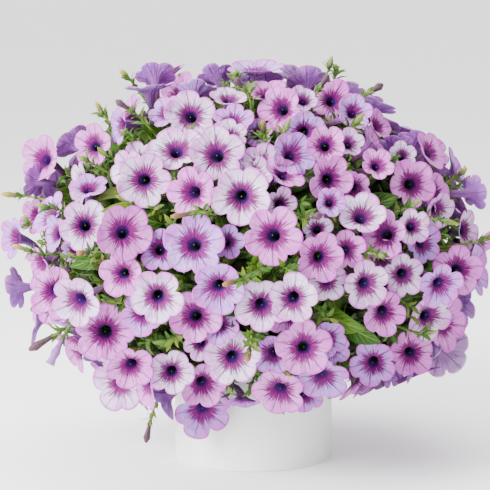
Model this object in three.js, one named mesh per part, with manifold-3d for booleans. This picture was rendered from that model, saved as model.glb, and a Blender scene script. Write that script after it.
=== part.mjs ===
// A petunia in a plain white pot: a wide, dense mound of trumpet-shaped blooms that hides the pot's rim.
// Millimetres, +Z up, the origin at the centre of the pot's base, the front of the plant towards -Y.
import * as THREE from 'three';
import { mergeVertices } from 'three/addons/utils/BufferGeometryUtils.js';
import Module from 'manifold-3d';

const wasm = await Module();
wasm.setup();

// Driving dimensions of the pot and its soil.
const POT_RADIUS = 91;
const POT_HEIGHT = 165;
const POT_WALL = 3;
const POT_FLOOR = 4;
const POT_SIDES = 30;
const DRAIN_RADIUS = 6;
const SOIL_TOP = 150;
const STEM_RING = 38;
const STEM_RADIUS = 6;
const STEM_DEPTH = 30;
const GAP = 0.3;
const SLIVER = 0.02;

// The mound: the surface that the blooms' faces sit on, an ellipsoid with a deeper top than bottom.
const MOUND_Z = 230;
const MOUND_RADIUS = 250;
const MOUND_UP = 205;
const MOUND_DOWN = 165;
const SKIRT_RADIUS = 124;
const POT_CLEAR = 8;
const CORE_DEPTH = 45;
const HUB_DEPTH = 34;
const BLOOM_NODES = 48;

// The eye that the front blooms' places were read from: its aim, distance, tilt and scale.
const EYE_AIM = new THREE.Vector3(-9.8, 0, 245.2);
const EYE_DISTANCE = 2600;
const EYE_TILT = THREE.MathUtils.degToRad(8);
const PIXEL = 1.15;
const PIXEL_MIDDLE = 245;
const VIEW_RIGHT = new THREE.Vector3(1, 0, 0);
const VIEW_UP = new THREE.Vector3(0, Math.sin(EYE_TILT), Math.cos(EYE_TILT));
const VIEW_NEAR = new THREE.Vector3(0, -Math.cos(EYE_TILT), Math.sin(EYE_TILT));

// One bloom: a flat five-cornered limb that narrows to a funnel.
const THROAT_IN_NECK = 0.55;
const THROAT_DROP = 6;
const THROAT_SHARE = 0.12;
const THROAT_ASIDE = 2;
const NECK_RADIUS = 10;
const NECK_IN_LIMB = 0.5;
const NECK_DROP = 9;
const HUB_BEHIND = 4;
const WAVE = 1.2;
const TAIL = 26;
const FUNNEL_BEND = 1.1;
const FORK_RADIUS = 13;
const FORK_THICK = 6;
const TINT_COLOURS = { W: 0xe4dcee, P: 0xdeb2d8, L: 0xc4b2de, V: 0xa078b9 };
const REST_LIFT = [-9, 3, 9];
const LIFT_STEPS = [0, 3, -3, 6, -6, 9, 12, 15, 18, 21, 25];

// Blooms seen from the front. Each row: tint (W white, P pink, L lilac, V back view), middle x and y and
// width in pixels, the part of its facing that goes right and up, 1 if it faces the viewer or -1 if it
// turns its back, and its level (2 in front, 1 between, 0 behind its neighbours).
const SEEN_BLOOMS = [
  ['V', 157, 76, 40, 0, 0.8, -1, 1],
  ['P', 173, 92, 55, -0.7, 0.45, 1, 1],
  ['P', 127, 112, 40, -0.7, 0.6, 1, 1],
  ['L', 119, 128, 38, -0.9, 0, 1, 1],
  ['V', 74, 143, 42, -0.6, 0.65, -1, 1],
  ['P', 93, 147, 44, -0.5, 0.1, 1, 1],
  ['P', 61, 172, 48, -0.6, 0.1, 1, 1],
  ['V', 36, 181, 30, -0.85, 0.2, -1, 1],
  ['W', 70, 180, 45, -0.9, 0, 1, 0],
  ['L', 90, 185, 40, -0.1, 0.8, 1, 1],
  ['W', 122, 165, 35, -0.6, 0, 1, 0],
  ['W', 135, 155, 34, -0.2, 0.3, 1, 0],
  ['W', 177, 149, 56, -0.1, 0.6, 1, 1],
  ['W', 148, 184, 55, 0, 0.05, 1, 1],
  ['W', 191, 117, 52, 0, 0.25, 1, 1],
  ['P', 191, 193, 52, -0.35, 0.1, 1, 1],
  ['W', 218, 160, 57, 0, 0.1, 1, 1],
  ['W', 242, 200, 60, 0, 0, 1, 2],
  ['P', 272, 237, 58, 0, 0, 1, 2],
  ['L', 196, 246, 61, 0, 0, 1, 2],
  ['L', 227, 240, 50, 0.2, 0, 1, 0],
  ['L', 219, 288, 55, -0.1, -0.35, 1, 1],
  ['W', 261, 306, 54, -0.1, -0.1, 1, 1],
  ['W', 289, 294, 50, 0.05, 0, 1, 1],
  ['P', 195, 317, 54, 0, -0.2, 1, 1],
  ['W', 233, 356, 56, 0, -0.1, 1, 1],
  ['P', 203, 383, 48, 0.05, -0.35, 1, 1],
  ['L', 203, 410, 57, 0.05, -0.45, 1, 1],
  ['W', 173, 368, 46, 0, -0.1, 1, 1],
  ['P', 141, 352, 46, 0.1, -0.45, 1, 1],
  ['P', 110, 328, 60, 0, -0.1, 1, 2],
  ['W', 164, 294, 55, -0.15, -0.05, 1, 1],
  ['P', 123, 274, 46, -0.3, -0.1, 1, 1],
  ['P', 134, 236, 58, 0.35, -0.1, 1, 1],
  ['W', 85, 226, 52, -0.2, 0, 1, 1],
  ['L', 120, 230, 45, 0, 0, 1, 0],
  ['L', 154, 248, 40, 0, 0, 1, 0],
  ['P', 56, 292, 54, -0.2, -0.1, 1, 1],
  ['W', 95, 296, 52, -0.2, -0.2, 1, 1],
  ['P', 52, 310, 40, -0.3, -0.6, 1, 1],
  ['L', 17, 288, 42, -0.95, -0.1, -1, 1],
  ['P', 30, 215, 28, -0.7, 0.1, 1, 1],
  ['L', 30, 240, 40, -0.8, 0, 1, 1],
  ['L', 55, 234, 35, -0.8, 0.1, 1, 1],
  ['P', 40, 265, 28, -0.8, -0.3, 1, 1],
  ['L', 62, 253, 26, -0.3, -0.5, 1, 0],
  ['W', 118, 382, 55, -0.5, -0.2, 1, 1],
  ['L', 137, 317, 45, -0.2, 0.1, 1, 0],
  ['V', 217, 77, 38, 0, 0.8, -1, 1],
  ['V', 268, 78, 35, 0.2, 0.9, -1, 1],
  ['P', 265, 92, 45, -0.1, 0.85, 1, 1],
  ['P', 279, 111, 48, -0.5, -0.15, 1, 1],
  ['W', 293, 108, 42, 0.1, 0.45, 1, 1],
  ['L', 298, 123, 36, 0, -0.2, 1, 0],
  ['V', 307, 85, 44, 0, 0.75, -1, 1],
  ['P', 332, 102, 44, 0, 0.1, 1, 1],
  ['W', 230, 100, 40, 0.1, 0.85, 1, 1],
  ['L', 232, 118, 36, -0.1, 0.6, 1, 0],
  ['L', 253, 116, 32, 0, 0.3, 1, 0],
  ['L', 195, 93, 36, 0, 0.8, -1, 1],
  ['L', 165, 112, 30, -0.5, 0.5, 1, 1],
  ['W', 232, 140, 42, 0.1, 0.2, 1, 0],
  ['W', 262, 162, 44, 0, 0.25, 1, 1],
  ['P', 285, 172, 44, 0.35, 0.7, 1, 1],
  ['L', 294, 157, 48, 0.45, 0.1, 1, 1],
  ['P', 322, 156, 40, 0.2, 0.1, 1, 1],
  ['W', 340, 152, 34, 0.2, 0.3, 1, 1],
  ['P', 331, 178, 50, 0.5, 0, 1, 1],
  ['P', 357, 185, 40, 0.1, -0.1, 1, 0],
  ['P', 371, 172, 30, 0.2, 0.4, 1, 0],
  ['P', 375, 145, 46, 0.8, 0.55, 1, 1],
  ['P', 379, 126, 34, 0.75, 0.45, 1, 1],
  ['V', 397, 142, 36, 0, 0.85, -1, 1],
  ['V', 412, 143, 28, 0.3, 0.8, -1, 1],
  ['P', 433, 154, 32, 0.6, 0.4, 1, 1],
  ['P', 422, 160, 42, 0.7, 0.4, 1, 1],
  ['W', 396, 160, 30, 0.3, 0.3, 1, 0],
  ['P', 411, 185, 50, 0.3, 0.05, 1, 1],
  ['P', 435, 194, 40, 0.7, 0.1, 1, 1],
  ['W', 438, 212, 38, 0.55, -0.3, 1, 1],
  ['W', 466, 230, 42, 0.85, 0, 1, 1],
  ['P', 482, 248, 24, 0.9, -0.2, 1, 1],
  ['V', 456, 200, 30, 0.8, 0.2, -1, 1],
  ['P', 450, 270, 52, 0.05, -0.05, 1, 2],
  ['W', 402, 275, 44, 0.15, -0.15, 1, 1],
  ['L', 422, 283, 46, 0.3, -0.35, 1, 1],
  ['W', 366, 285, 50, 0.25, -0.2, 1, 1],
  ['P', 384, 312, 46, 0.35, -0.1, 1, 1],
  ['P', 382, 235, 48, -0.4, 0, 1, 1],
  ['W', 358, 216, 50, 0.05, 0.6, 1, 1],
  ['P', 343, 250, 56, 0.1, 0, 1, 1],
  ['P', 319, 258, 50, 0.35, -0.1, 1, 2],
  ['W', 315, 235, 44, 0.1, 0, 1, 1],
  ['L', 318, 208, 38, 0.3, 0, 1, 0],
  ['W', 283, 203, 48, 0.35, 0.05, 1, 1],
  ['W', 403, 230, 52, 0.35, 0, 1, 1],
  ['W', 335, 277, 36, 0, 0, 1, 0],
  ['W', 387, 257, 36, 0.1, -0.3, 1, 0],
  ['P', 446, 322, 56, 0.75, -0.1, 1, 1],
  ['L', 372, 362, 46, 0, -0.15, 1, 1],
  ['P', 408, 350, 46, 0.1, -0.15, 1, 1],
  ['P', 303, 343, 56, 0.1, -0.1, 1, 2],
  ['L', 331, 342, 46, 0.4, -0.2, 1, 1],
  ['L', 323, 378, 52, 0.15, -0.65, 1, 1],
  ['P', 278, 386, 54, 0, -0.2, 1, 2],
  ['V', 242, 402, 32, 0, -0.95, 1, 1],
  ['L', 305, 398, 28, 0.2, -0.6, 1, 1],
  ['W', 205, 350, 36, 0, -0.3, 1, 0],
  ['L', 217, 328, 35, 0, 0, 1, 0],
  ['P', 290, 322, 34, 0, -0.3, 1, 0],
  ['L', 272, 362, 36, -0.2, -0.4, 1, 0],
  ['L', 333, 363, 30, 0.2, -0.5, 1, 0],
  ['W', 253, 170, 40, 0.1, 0.1, 1, 0],
  ['L', 432, 242, 34, 0.4, -0.1, 1, 0],
  ['L', 346, 131, 34, 0.3, 0.3, 1, 1],
];

// The sides and back: the same plant goes on where the front view does not reach.
const HIDDEN_SPOTS = 1400;
const HIDDEN_SPACING = 43;
const HIDDEN_EDGE = 0.3;
const SEEN_SPACING = 46;
const GOLDEN_ANGLE = Math.PI * (3 - Math.sqrt(5));

// Leaves: oval blades with a sunken midrib.
const LEAF_THICK = 0.8;
const LEAF_ARCH = 0.1;
const LEAF_SPOTS = 128;
const LEAF_SPACING = 30;
const ROOT = 5;

// Shoots: a thin stem with a bud at its tip and a small leaf under it.
const STALK_RADIUS = 1.6;
const BUD_RADIUS = 2.6;
const SMALL_LEAF = 18;
const SHOOT_SPOTS = 26;
const SHOOT_LIFT = 7;

// Buds and shoot tips seen from the front: foot x and y, then tip x and y, in pixels.
const SEEN_SHOOTS = [
  [131, 95, 118, 84], [150, 121, 127, 109], [116, 128, 107, 113], [60, 157, 45, 149],
  [40, 197, 13, 197], [62, 216, 46, 213], [40, 228, 34, 220], [48, 255, 25, 246],
  [33, 290, 22, 295], [95, 172, 83, 167], [168, 165, 145, 163], [132, 150, 126, 146],
  [200, 210, 180, 218], [108, 253, 91, 255], [245, 262, 218, 270], [285, 262, 297, 271],
  [290, 219, 312, 220], [290, 158, 298, 139], [243, 93, 240, 83], [237, 92, 233, 84],
  [251, 86, 250, 71], [247, 105, 230, 90], [265, 145, 262, 131], [331, 85, 331, 75],
  [311, 105, 325, 87], [357, 105, 380, 95], [343, 133, 355, 120], [360, 175, 348, 157],
  [384, 170, 383, 161], [448, 184, 456, 174], [452, 189, 459, 184], [393, 228, 409, 219],
  [423, 229, 447, 237], [465, 245, 488, 233], [420, 328, 438, 322], [366, 254, 373, 258],
  [252, 335, 247, 352], [156, 400, 149, 430], [85, 327, 47, 348],
];

// Large leaves seen from the front: middle x and y, and the way the tip points, right and up.
const SEEN_LEAVES = [
  [112, 207, -0.9, -0.2], [97, 188, -0.7, 0.3], [122, 180, 0.3, 0.7], [77, 262, -0.8, -0.4],
  [70, 268, -0.6, -0.7], [258, 268, 0.5, -0.8], [268, 280, -0.5, -0.7], [250, 285, 0.8, -0.1],
  [330, 293, 0.3, 0.8], [345, 310, -0.6, -0.6], [352, 328, 0.8, -0.4], [342, 338, -0.8, 0.3],
  [388, 200, 0.7, 0.4], [258, 342, 0.6, 0.6], [268, 354, -0.7, -0.4], [282, 350, 0.7, -0.5],
  [425, 262, 0.8, 0.2], [150, 386, -0.4, -0.8], [88, 265, -0.9, 0.2], [372, 340, 0.7, -0.6],
];

// A repeatable draw of numbers from 0 to 1.
function makeDraw(seed) {
  let state = seed;
  return function draw() {
    state = (state * 1664525 + 1013904223) % 4294967296;
    return state / 4294967296;
  };
}

function vec(x, y, z) {
  return new THREE.Vector3(x, y, z);
}

function along(point, direction, distance) {
  return point.clone().addScaledVector(direction, distance);
}

// How far out a point lies: 1 on the mound's surface when depth is 0, 1 on the core when it is CORE_DEPTH.
function moundLevel(p, depth) {
  const side = MOUND_RADIUS - depth;
  const tall = (p.z > MOUND_Z ? MOUND_UP : MOUND_DOWN) - depth;
  return Math.sqrt((p.x * p.x + p.y * p.y) / (side * side) + ((p.z - MOUND_Z) / tall) ** 2);
}

function moundNormal(p) {
  const tall = p.z > MOUND_Z ? MOUND_UP : MOUND_DOWN;
  const n = vec(p.x / MOUND_RADIUS ** 2, p.y / MOUND_RADIUS ** 2, (p.z - MOUND_Z) / tall ** 2);
  return n.normalize();
}

// The point of the mound's front that the eye sees at a pixel, or the nearest to it past the outline.
function seenPoint(px, py) {
  const aim = along(EYE_AIM, VIEW_RIGHT, (px - PIXEL_MIDDLE) * PIXEL);
  aim.addScaledVector(VIEW_UP, (PIXEL_MIDDLE - py) * PIXEL);
  const eye = along(EYE_AIM, VIEW_NEAR, EYE_DISTANCE);
  const ray = aim.clone().sub(eye).normalize();
  let best = null;
  let bestLevel = Infinity;
  for (let step = -300; step <= 20; step += 1) {
    const p = along(aim, ray, step);
    const level = moundLevel(p, 0);
    const inPot = p.z < MOUND_Z && Math.hypot(p.x, p.y) < SKIRT_RADIUS;
    if (!inPot && level < bestLevel) {
      best = p;
      bestLevel = level;
    }
    if (bestLevel <= 1) {
      break;
    }
  }
  return best;
}

function facing(right, up, side) {
  const near = side * Math.sqrt(Math.max(0, 1 - right * right - up * up));
  const f = VIEW_RIGHT.clone().multiplyScalar(right);
  f.addScaledVector(VIEW_UP, up);
  return f.addScaledVector(VIEW_NEAR, near).normalize();
}

// Turns a direction towards a second one until it is no more than a given angle away.
function leanLimit(direction, main, limit) {
  const angle = direction.angleTo(main);
  if (angle <= limit) {
    return direction.clone();
  }
  const side = direction.clone().addScaledVector(main, -direction.dot(main)).normalize();
  return main.clone().multiplyScalar(Math.cos(limit)).addScaledVector(side, Math.sin(limit));
}

// The blooms that the front view shows, each at its place on the mound.
function seenBlooms() {
  return SEEN_BLOOMS.map(([tint, px, py, width, right, up, side, level]) => {
    const spot = seenPoint(px, py);
    const away = 1 - spot.clone().sub(EYE_AIM).dot(VIEW_NEAR) / EYE_DISTANCE;
    const radius = THREE.MathUtils.clamp(width * PIXEL * away / 2, level === 0 ? 23 : 20, 32);
    const face = leanLimit(facing(right, up, side), moundNormal(spot), 1.05);
    return { tint, spot, face, radius, level };
  });
}

// An even spiral of spots over the mound, without those under it by the pot.
function spiralSpots(count) {
  const spots = [];
  for (let i = 0; i < count; i += 1) {
    const height = 1 - (2 * i + 1) / count;
    const ring = Math.sqrt(1 - height * height) * MOUND_RADIUS;
    const tall = height > 0 ? MOUND_UP : MOUND_DOWN;
    const turn = i * GOLDEN_ANGLE;
    if (ring > SKIRT_RADIUS || height > 0) {
      spots.push(vec(Math.cos(turn) * ring, Math.sin(turn) * ring, MOUND_Z + height * tall));
    }
  }
  return spots;
}

// The blooms that fill the rest of the mound, wherever a spot of the spiral is still free.
function hiddenBlooms(taken) {
  const draw = makeDraw(48271);
  const blooms = [];
  for (const spot of spiralSpots(HIDDEN_SPOTS)) {
    const out = moundNormal(spot);
    const spacing = out.dot(VIEW_NEAR) > HIDDEN_EDGE ? SEEN_SPACING : HIDDEN_SPACING;
    if ([...taken, ...blooms].every((other) => other.spot.distanceTo(spot) > spacing)) {
      const radius = 27 + 5 * draw();
      const level = draw() < 0.2 ? 0 : 1;
      const tint = 'WPLPWLPL'[Math.floor(draw() * 8)];
      const wander = vec(draw() - 0.5, draw() - 0.5, draw() - 0.35);
      const face = out.clone().addScaledVector(wander, 0.9).normalize();
      blooms.push({ tint, spot, face, radius, level });
    }
  }
  return blooms;
}

// Sorts the blooms into groups of neighbours, by where their funnels end, and gives each group a hub.
// A bloom that would face back over its own hub is turned until its funnel can reach it.
function groupBlooms(blooms) {
  const tails = blooms.map((bloom) => along(bloom.spot, bloom.face, -TAIL));
  const hubs = [tails[0].clone()];
  while (hubs.length < BLOOM_NODES) {
    let far = 0;
    let farDistance = -1;
    tails.forEach((tail, i) => {
      const distance = Math.min(...hubs.map((hub) => hub.distanceTo(tail)));
      if (distance > farDistance) {
        far = i;
        farDistance = distance;
      }
    });
    hubs.push(tails[far].clone());
  }
  for (let round = 0; round < 8; round += 1) {
    tails.forEach((tail, i) => {
      const distances = hubs.map((hub) => hub.distanceTo(tail));
      blooms[i].group = distances.indexOf(Math.min(...distances));
    });
    hubs.forEach((hub, g) => {
      const own = tails.filter((tail, i) => blooms[i].group === g);
      if (own.length > 0) {
        hub.set(0, 0, 0);
        own.forEach((tail) => hub.addScaledVector(tail, 1 / own.length));
      }
    });
  }
  blooms.forEach((bloom) => {
    bloom.hub = atDepth(hubs[bloom.group], HUB_DEPTH);
    bloom.face = leanLimit(bloom.face, bloom.spot.clone().sub(bloom.hub).normalize(), FUNNEL_BEND);
  });
}

// Slides a point along the line from the mound's middle to a depth under its surface, clear of the pot.
function atDepth(point, depth) {
  const middle = vec(0, 0, MOUND_Z);
  const p = point.clone().sub(middle).divideScalar(moundLevel(point, depth)).add(middle);
  const outward = (POT_RADIUS + 2 * POT_CLEAR) / Math.hypot(p.x, p.y);
  if (p.z < POT_HEIGHT + POT_CLEAR && outward > 1) {
    p.set(p.x * outward, p.y * outward, p.z);
  }
  return p;
}

// The two directions across a bloom's face.
function acrossFace(face) {
  const u = vec(-face.y, face.x, 0);
  if (u.length() < 0.05) {
    u.set(1, 0, 0);
  }
  u.normalize();
  return [u, face.clone().cross(u)];
}

function limbHeight(r, radius) {
  return r < NECK_RADIUS ? -THROAT_DROP - 1.5 : -(THROAT_DROP + 1.5) * (radius - r) / (radius - NECK_RADIUS);
}

// Points spread over a bloom at a lift above its spot: three rings of its limb, then its funnel.
function bloomPoints(bloom) {
  const [u, v] = acrossFace(bloom.face);
  const points = [];
  for (const share of [1, 0.72, 0.45]) {
    const r = share * bloom.radius;
    for (let k = 0; k < 18; k += 1) {
      const turn = k * Math.PI / 9;
      const p = along(bloom.centre, bloom.face, limbHeight(r, bloom.radius));
      p.addScaledVector(u, r * Math.cos(turn));
      points.push(p.addScaledVector(v, r * Math.sin(turn)));
    }
  }
  const neck = along(bloom.centre, bloom.face, -THROAT_DROP - 1.5);
  for (const share of [0, 0.25, 0.5, 0.75, 1]) {
    points.push(neck.clone().lerp(bloom.hub, share));
  }
  return points;
}

// Whether points all keep to one side of a bloom's limb, and clear of its funnel for a share of its length.
function clearOf(bloom, points, margin, funnelShare) {
  const reach = bloom.radius + margin;
  const neck = along(bloom.centre, bloom.face, -THROAT_DROP - 1.5);
  const funnel = bloom.hub.clone().sub(neck);
  const funnelSquare = funnel.lengthSq();
  let side = 0;
  for (const p of points) {
    const offset = p.clone().sub(bloom.centre);
    const h = offset.dot(bloom.face);
    const r = Math.sqrt(Math.max(0, offset.lengthSq() - h * h));
    if (r < reach) {
      const over = h - limbHeight(Math.min(r, bloom.radius), bloom.radius);
      if (Math.abs(over) < margin || over * side < 0) {
        return false;
      }
      side = over;
    }
    const share = THREE.MathUtils.clamp(p.clone().sub(neck).dot(funnel) / funnelSquare, 0, funnelShare);
    const thick = NECK_RADIUS + (1.5 - NECK_RADIUS) * share;
    if (along(neck, funnel, share).distanceTo(p) < thick + margin) {
      return false;
    }
  }
  return true;
}

function clearOfPotAndCore(points, depth) {
  return points.every((p) => {
    const byPot = p.z < POT_HEIGHT + POT_CLEAR && Math.hypot(p.x, p.y) < POT_RADIUS + POT_CLEAR;
    return !byPot && moundLevel(p, depth) > 1;
  });
}

// Whether two blooms clear each other: wholly, or down to where their funnels join if they share a hub.
// Crowded blooms of one hub may press into each other.
function bloomsClear(a, b, crowded) {
  if (a.group !== b.group) {
    return clearOf(a, b.points, 3, 1) && clearOf(b, a.points, 3, 1);
  }
  return crowded || (clearOf(a, b.points.slice(0, -4), 2, 0.5) && clearOf(b, a.points.slice(0, -4), 2, 0.5));
}

// Puts a bloom in place if it clears the core, the pot and the blooms placed before it.
function tryBloom(bloom, settled, crowded) {
  bloom.points = bloomPoints(bloom);
  const near = settled.filter((other) => other.centre.distanceTo(bloom.centre) < 110);
  const fits = bloom.hub.clone().sub(bloom.centre).dot(bloom.face) < -NECK_DROP - HUB_BEHIND
    && clearOfPotAndCore(bloom.points.slice(0, -2), CORE_DEPTH - 3)
    && near.every((other) => bloomsClear(other, bloom, crowded));
  if (fits) {
    settled.push(bloom);
  }
  return fits;
}

// Lifts, shrinks or shifts a bloom the least that lets it clear the others.
function settleBloom(bloom, settled, crowded) {
  const full = bloom.radius;
  const out = moundNormal(bloom.spot);
  const [u, v] = acrossFace(out);
  for (const [shift, ways] of [[0, 1], [6, 6], [11, 6]]) {
    for (const scale of [1, 0.9, 0.8, 0.7]) {
      for (let way = 0; way < ways; way += 1) {
        const turn = way * Math.PI * 2 / ways;
        const spot = along(along(bloom.spot, u, shift * Math.cos(turn)), v, shift * Math.sin(turn));
        for (const step of LIFT_STEPS) {
          bloom.radius = full * scale;
          bloom.centre = along(spot, out, REST_LIFT[bloom.level] + step);
          if (tryBloom(bloom, settled, crowded)) {
            return true;
          }
        }
      }
    }
  }
  bloom.radius = full;
  return false;
}

function settleBlooms(blooms) {
  const settled = [];
  for (const level of [2, 1, 0]) {
    for (const bloom of blooms.filter((one) => one.level === level)) {
      settleBloom(bloom, settled, false) || settleBloom(bloom, settled, true);
    }
  }
  return settled;
}

// A closed surface from corners and triangles, turned so that its faces point out.
function surface(corners, faces) {
  const geometry = new THREE.BufferGeometry();
  const flat = corners.flatMap((p) => [p.x, p.y, p.z]);
  const start = corners[0];
  const volume = faces.reduce((sum, [a, b, c]) => {
    const across = corners[b].clone().sub(start).cross(corners[c].clone().sub(start));
    return sum + corners[a].clone().sub(start).dot(across);
  }, 0);
  const outward = volume < 0 ? faces.map(([a, b, c]) => [a, c, b]) : faces;
  geometry.setAttribute('position', new THREE.Float32BufferAttribute(flat, 3));
  geometry.setIndex(outward.flat());
  return geometry;
}

// One bloom: a limb with five waved corners, a throat, and a three-sided funnel back to the group's fork.
function bloomGeometry(bloom) {
  const [u, v] = acrossFace(bloom.face);
  const place = (r, turn, h) => {
    const p = along(bloom.centre, bloom.face, h);
    p.addScaledVector(u, r * Math.cos(turn + bloom.spin));
    return p.addScaledVector(v, r * Math.sin(turn + bloom.spin));
  };
  const fifth = Math.PI * 0.4;
  const neck = Math.min(NECK_RADIUS, bloom.radius * NECK_IN_LIMB);
  const corners = [];
  for (let k = 0; k < 5; k += 1) {
    corners.push(place(bloom.radius, k * fifth, WAVE * Math.sin(2.4 * k + bloom.spin)));
  }
  for (let k = 0; k < 5; k += 1) {
    corners.push(place(neck * THROAT_IN_NECK, (k + 0.5) * fifth, -THROAT_DROP));
  }
  for (let k = 0; k < 3; k += 1) {
    corners.push(place(neck, k * Math.PI * 2 / 3, -NECK_DROP));
  }
  const out = moundNormal(bloom.hub);
  const aside = bloom.centre.clone().sub(bloom.hub);
  aside.addScaledVector(out, -aside.dot(out)).clampLength(0, FORK_RADIUS * 0.4);
  const end = along(bloom.hub, out, -FORK_THICK * 0.3).add(aside);
  const ring = place(0, 0, -NECK_DROP);
  const funnel = end.clone().sub(ring);
  const bent = funnel.clone().cross(bloom.face).length();
  corners.push(along(ring, funnel, Math.min(THROAT_SHARE, THROAT_ASIDE / bent)), end);
  const faces = [];
  for (let k = 0; k < 5; k += 1) {
    const next = (k + 1) % 5;
    faces.push([k, next, 5 + k], [next, 5 + next, 5 + k], [5 + k, 5 + next, 13]);
  }
  faces.push([1, 0, 10], [1, 10, 11], [2, 1, 11], [3, 2, 11]);
  faces.push([3, 11, 12], [4, 3, 12], [4, 12, 10], [0, 4, 10]);
  faces.push([11, 10, 14], [12, 11, 14], [10, 12, 14]);
  return surface(corners, faces);
}

// The fork where the stalks of one group meet: a small three-sided block across the way out of the mound.
function forkGeometry(hub) {
  const out = moundNormal(hub);
  const [u, v] = acrossFace(out);
  const corners = [0.5, -0.5].flatMap((level) => [0, 1, 2].map((k) => {
    const turn = k * Math.PI * 2 / 3;
    const p = along(hub, out, level * FORK_THICK);
    p.addScaledVector(u, FORK_RADIUS * Math.cos(turn));
    return p.addScaledVector(v, FORK_RADIUS * Math.sin(turn));
  }));
  const sides = [0, 1, 2].flatMap((k) => {
    const next = (k + 1) % 3;
    return [[k, k + 3, next + 3], [k, next + 3, next]];
  });
  return surface(corners, [[0, 1, 2], [5, 4, 3], ...sides]);
}

// A geometry as a solid that can be joined and cut.
function toSolid(geometry) {
  const bare = geometry.clone();
  bare.deleteAttribute('normal');
  bare.deleteAttribute('uv');
  const merged = mergeVertices(bare, 1e-4);
  const vertProperties = new Float32Array(merged.attributes.position.array);
  const triVerts = new Uint32Array(merged.index.array);
  return new wasm.Manifold(new wasm.Mesh({ numProp: 3, vertProperties, triVerts }));
}

// The least height of any triangle of a solid.
function leastHeight(solid) {
  const { vertProperties, triVerts } = solid.getMesh();
  const corner = (n) => vec(...vertProperties.slice(3 * triVerts[n], 3 * triVerts[n] + 3));
  let least = Infinity;
  for (let t = 0; t < triVerts.length; t += 3) {
    const [a, b, c] = [corner(t), corner(t + 1), corner(t + 2)];
    const longest = Math.max(a.distanceTo(b), b.distanceTo(c), c.distanceTo(a));
    least = Math.min(least, b.sub(a).cross(c.sub(a)).length() / longest);
  }
  return least;
}

// Joins a piece to a solid, moved a hair further each time that the joint would leave a sliver.
function joinCleanly(whole, piece, bars) {
  for (let nudge = 0; nudge < 6; nudge += 1) {
    const moved = toSolid(piece.clone().translate(0.31 * nudge, -0.23 * nudge, 0.27 * nudge));
    const joined = whole.add(moved);
    const free = bars.every((bar) => bar.intersect(moved).volume() < 1e-4);
    if (free && leastHeight(joined) > SLIVER) {
      return joined;
    }
  }
  return whole;
}

// The largest body of a solid, without loose scraps and sealed hollows, its triangles listed from the top down.
function toGeometry(solid) {
  const bodies = solid.decompose();
  const largest = bodies.reduce((a, b) => (b.volume() > a.volume() ? b : a));
  const { vertProperties, triVerts } = largest.getMesh();
  const height = (triangle) => triangle.reduce((sum, n) => sum + vertProperties[3 * n + 2], 0);
  const triangles = [];
  for (let t = 0; t < triVerts.length; t += 3) {
    triangles.push(Array.from(triVerts.slice(t, t + 3)));
  }
  triangles.sort((a, b) => height(b) - height(a));
  const geometry = new THREE.BufferGeometry();
  geometry.setAttribute('position', new THREE.Float32BufferAttribute(vertProperties, 3));
  geometry.setIndex(triangles.flat());
  geometry.computeVertexNormals();
  return geometry;
}

function namedMesh(name, geometry, color, roughness) {
  const material = new THREE.MeshStandardMaterial({ color, roughness, metalness: 0 });
  const mesh = new THREE.Mesh(geometry, material);
  mesh.name = name;
  return mesh;
}

function latheSolid(profile, sides) {
  const points = profile.map(([r, z]) => new THREE.Vector2(r, z));
  return new THREE.LatheGeometry(points, sides).rotateX(Math.PI / 2);
}

// The pot: straight sides and a floor with a groove between its foot ring and its middle.
function makePot() {
  const inside = POT_RADIUS - POT_WALL;
  const profile = [
    [0, 0], [56, 0], [58, 1.5], [82, 1.5], [84, 0], [POT_RADIUS - 1, 0], [POT_RADIUS, 1],
    [POT_RADIUS, POT_HEIGHT], [inside, POT_HEIGHT], [inside, POT_FLOOR], [0, POT_FLOOR],
  ];
  let pot = toSolid(latheSolid(profile, POT_SIDES));
  for (let k = 0; k < 4; k += 1) {
    const turn = (k + 0.5) * Math.PI / 2;
    const hole = new THREE.CylinderGeometry(DRAIN_RADIUS, DRAIN_RADIUS, 20, 8).rotateX(Math.PI / 2);
    hole.translate(70 * Math.cos(turn), 70 * Math.sin(turn), 0);
    pot = pot.subtract(toSolid(hole));
  }
  return namedMesh('pot', toGeometry(pot), 0xf1f1ef, 0.45);
}

// Where the three crown stems stand in the soil.
function stemPlaces() {
  return [0, 1, 2].map((k) => {
    const turn = k * Math.PI * 2 / 3 + Math.PI / 2;
    return [STEM_RING * Math.cos(turn), STEM_RING * Math.sin(turn)];
  });
}

function uprightSolid(radius, sides, low, high, x, y) {
  const body = new THREE.CylinderGeometry(radius, radius, high - low, sides).rotateX(Math.PI / 2);
  return toSolid(body.translate(x, y, (low + high) / 2));
}

// The soil: it fills the pot to a little under its rim, with a plain hole round each stem.
function makeSoil() {
  const side = POT_RADIUS - POT_WALL - 1.5 * GAP;
  const low = POT_FLOOR + GAP;
  const profile = [[0, low], [side, low], [side, SOIL_TOP], [0, SOIL_TOP]];
  let soil = toSolid(latheSolid(profile, POT_SIDES));
  for (const [x, y] of stemPlaces()) {
    const end = SOIL_TOP - STEM_DEPTH - GAP;
    soil = soil.subtract(uprightSolid(STEM_RADIUS + 3 * GAP, 6, end, SOIL_TOP + 20, x, y));
  }
  return namedMesh('potting_soil', toGeometry(soil), 0x3a2a1e, 0.95);
}

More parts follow.
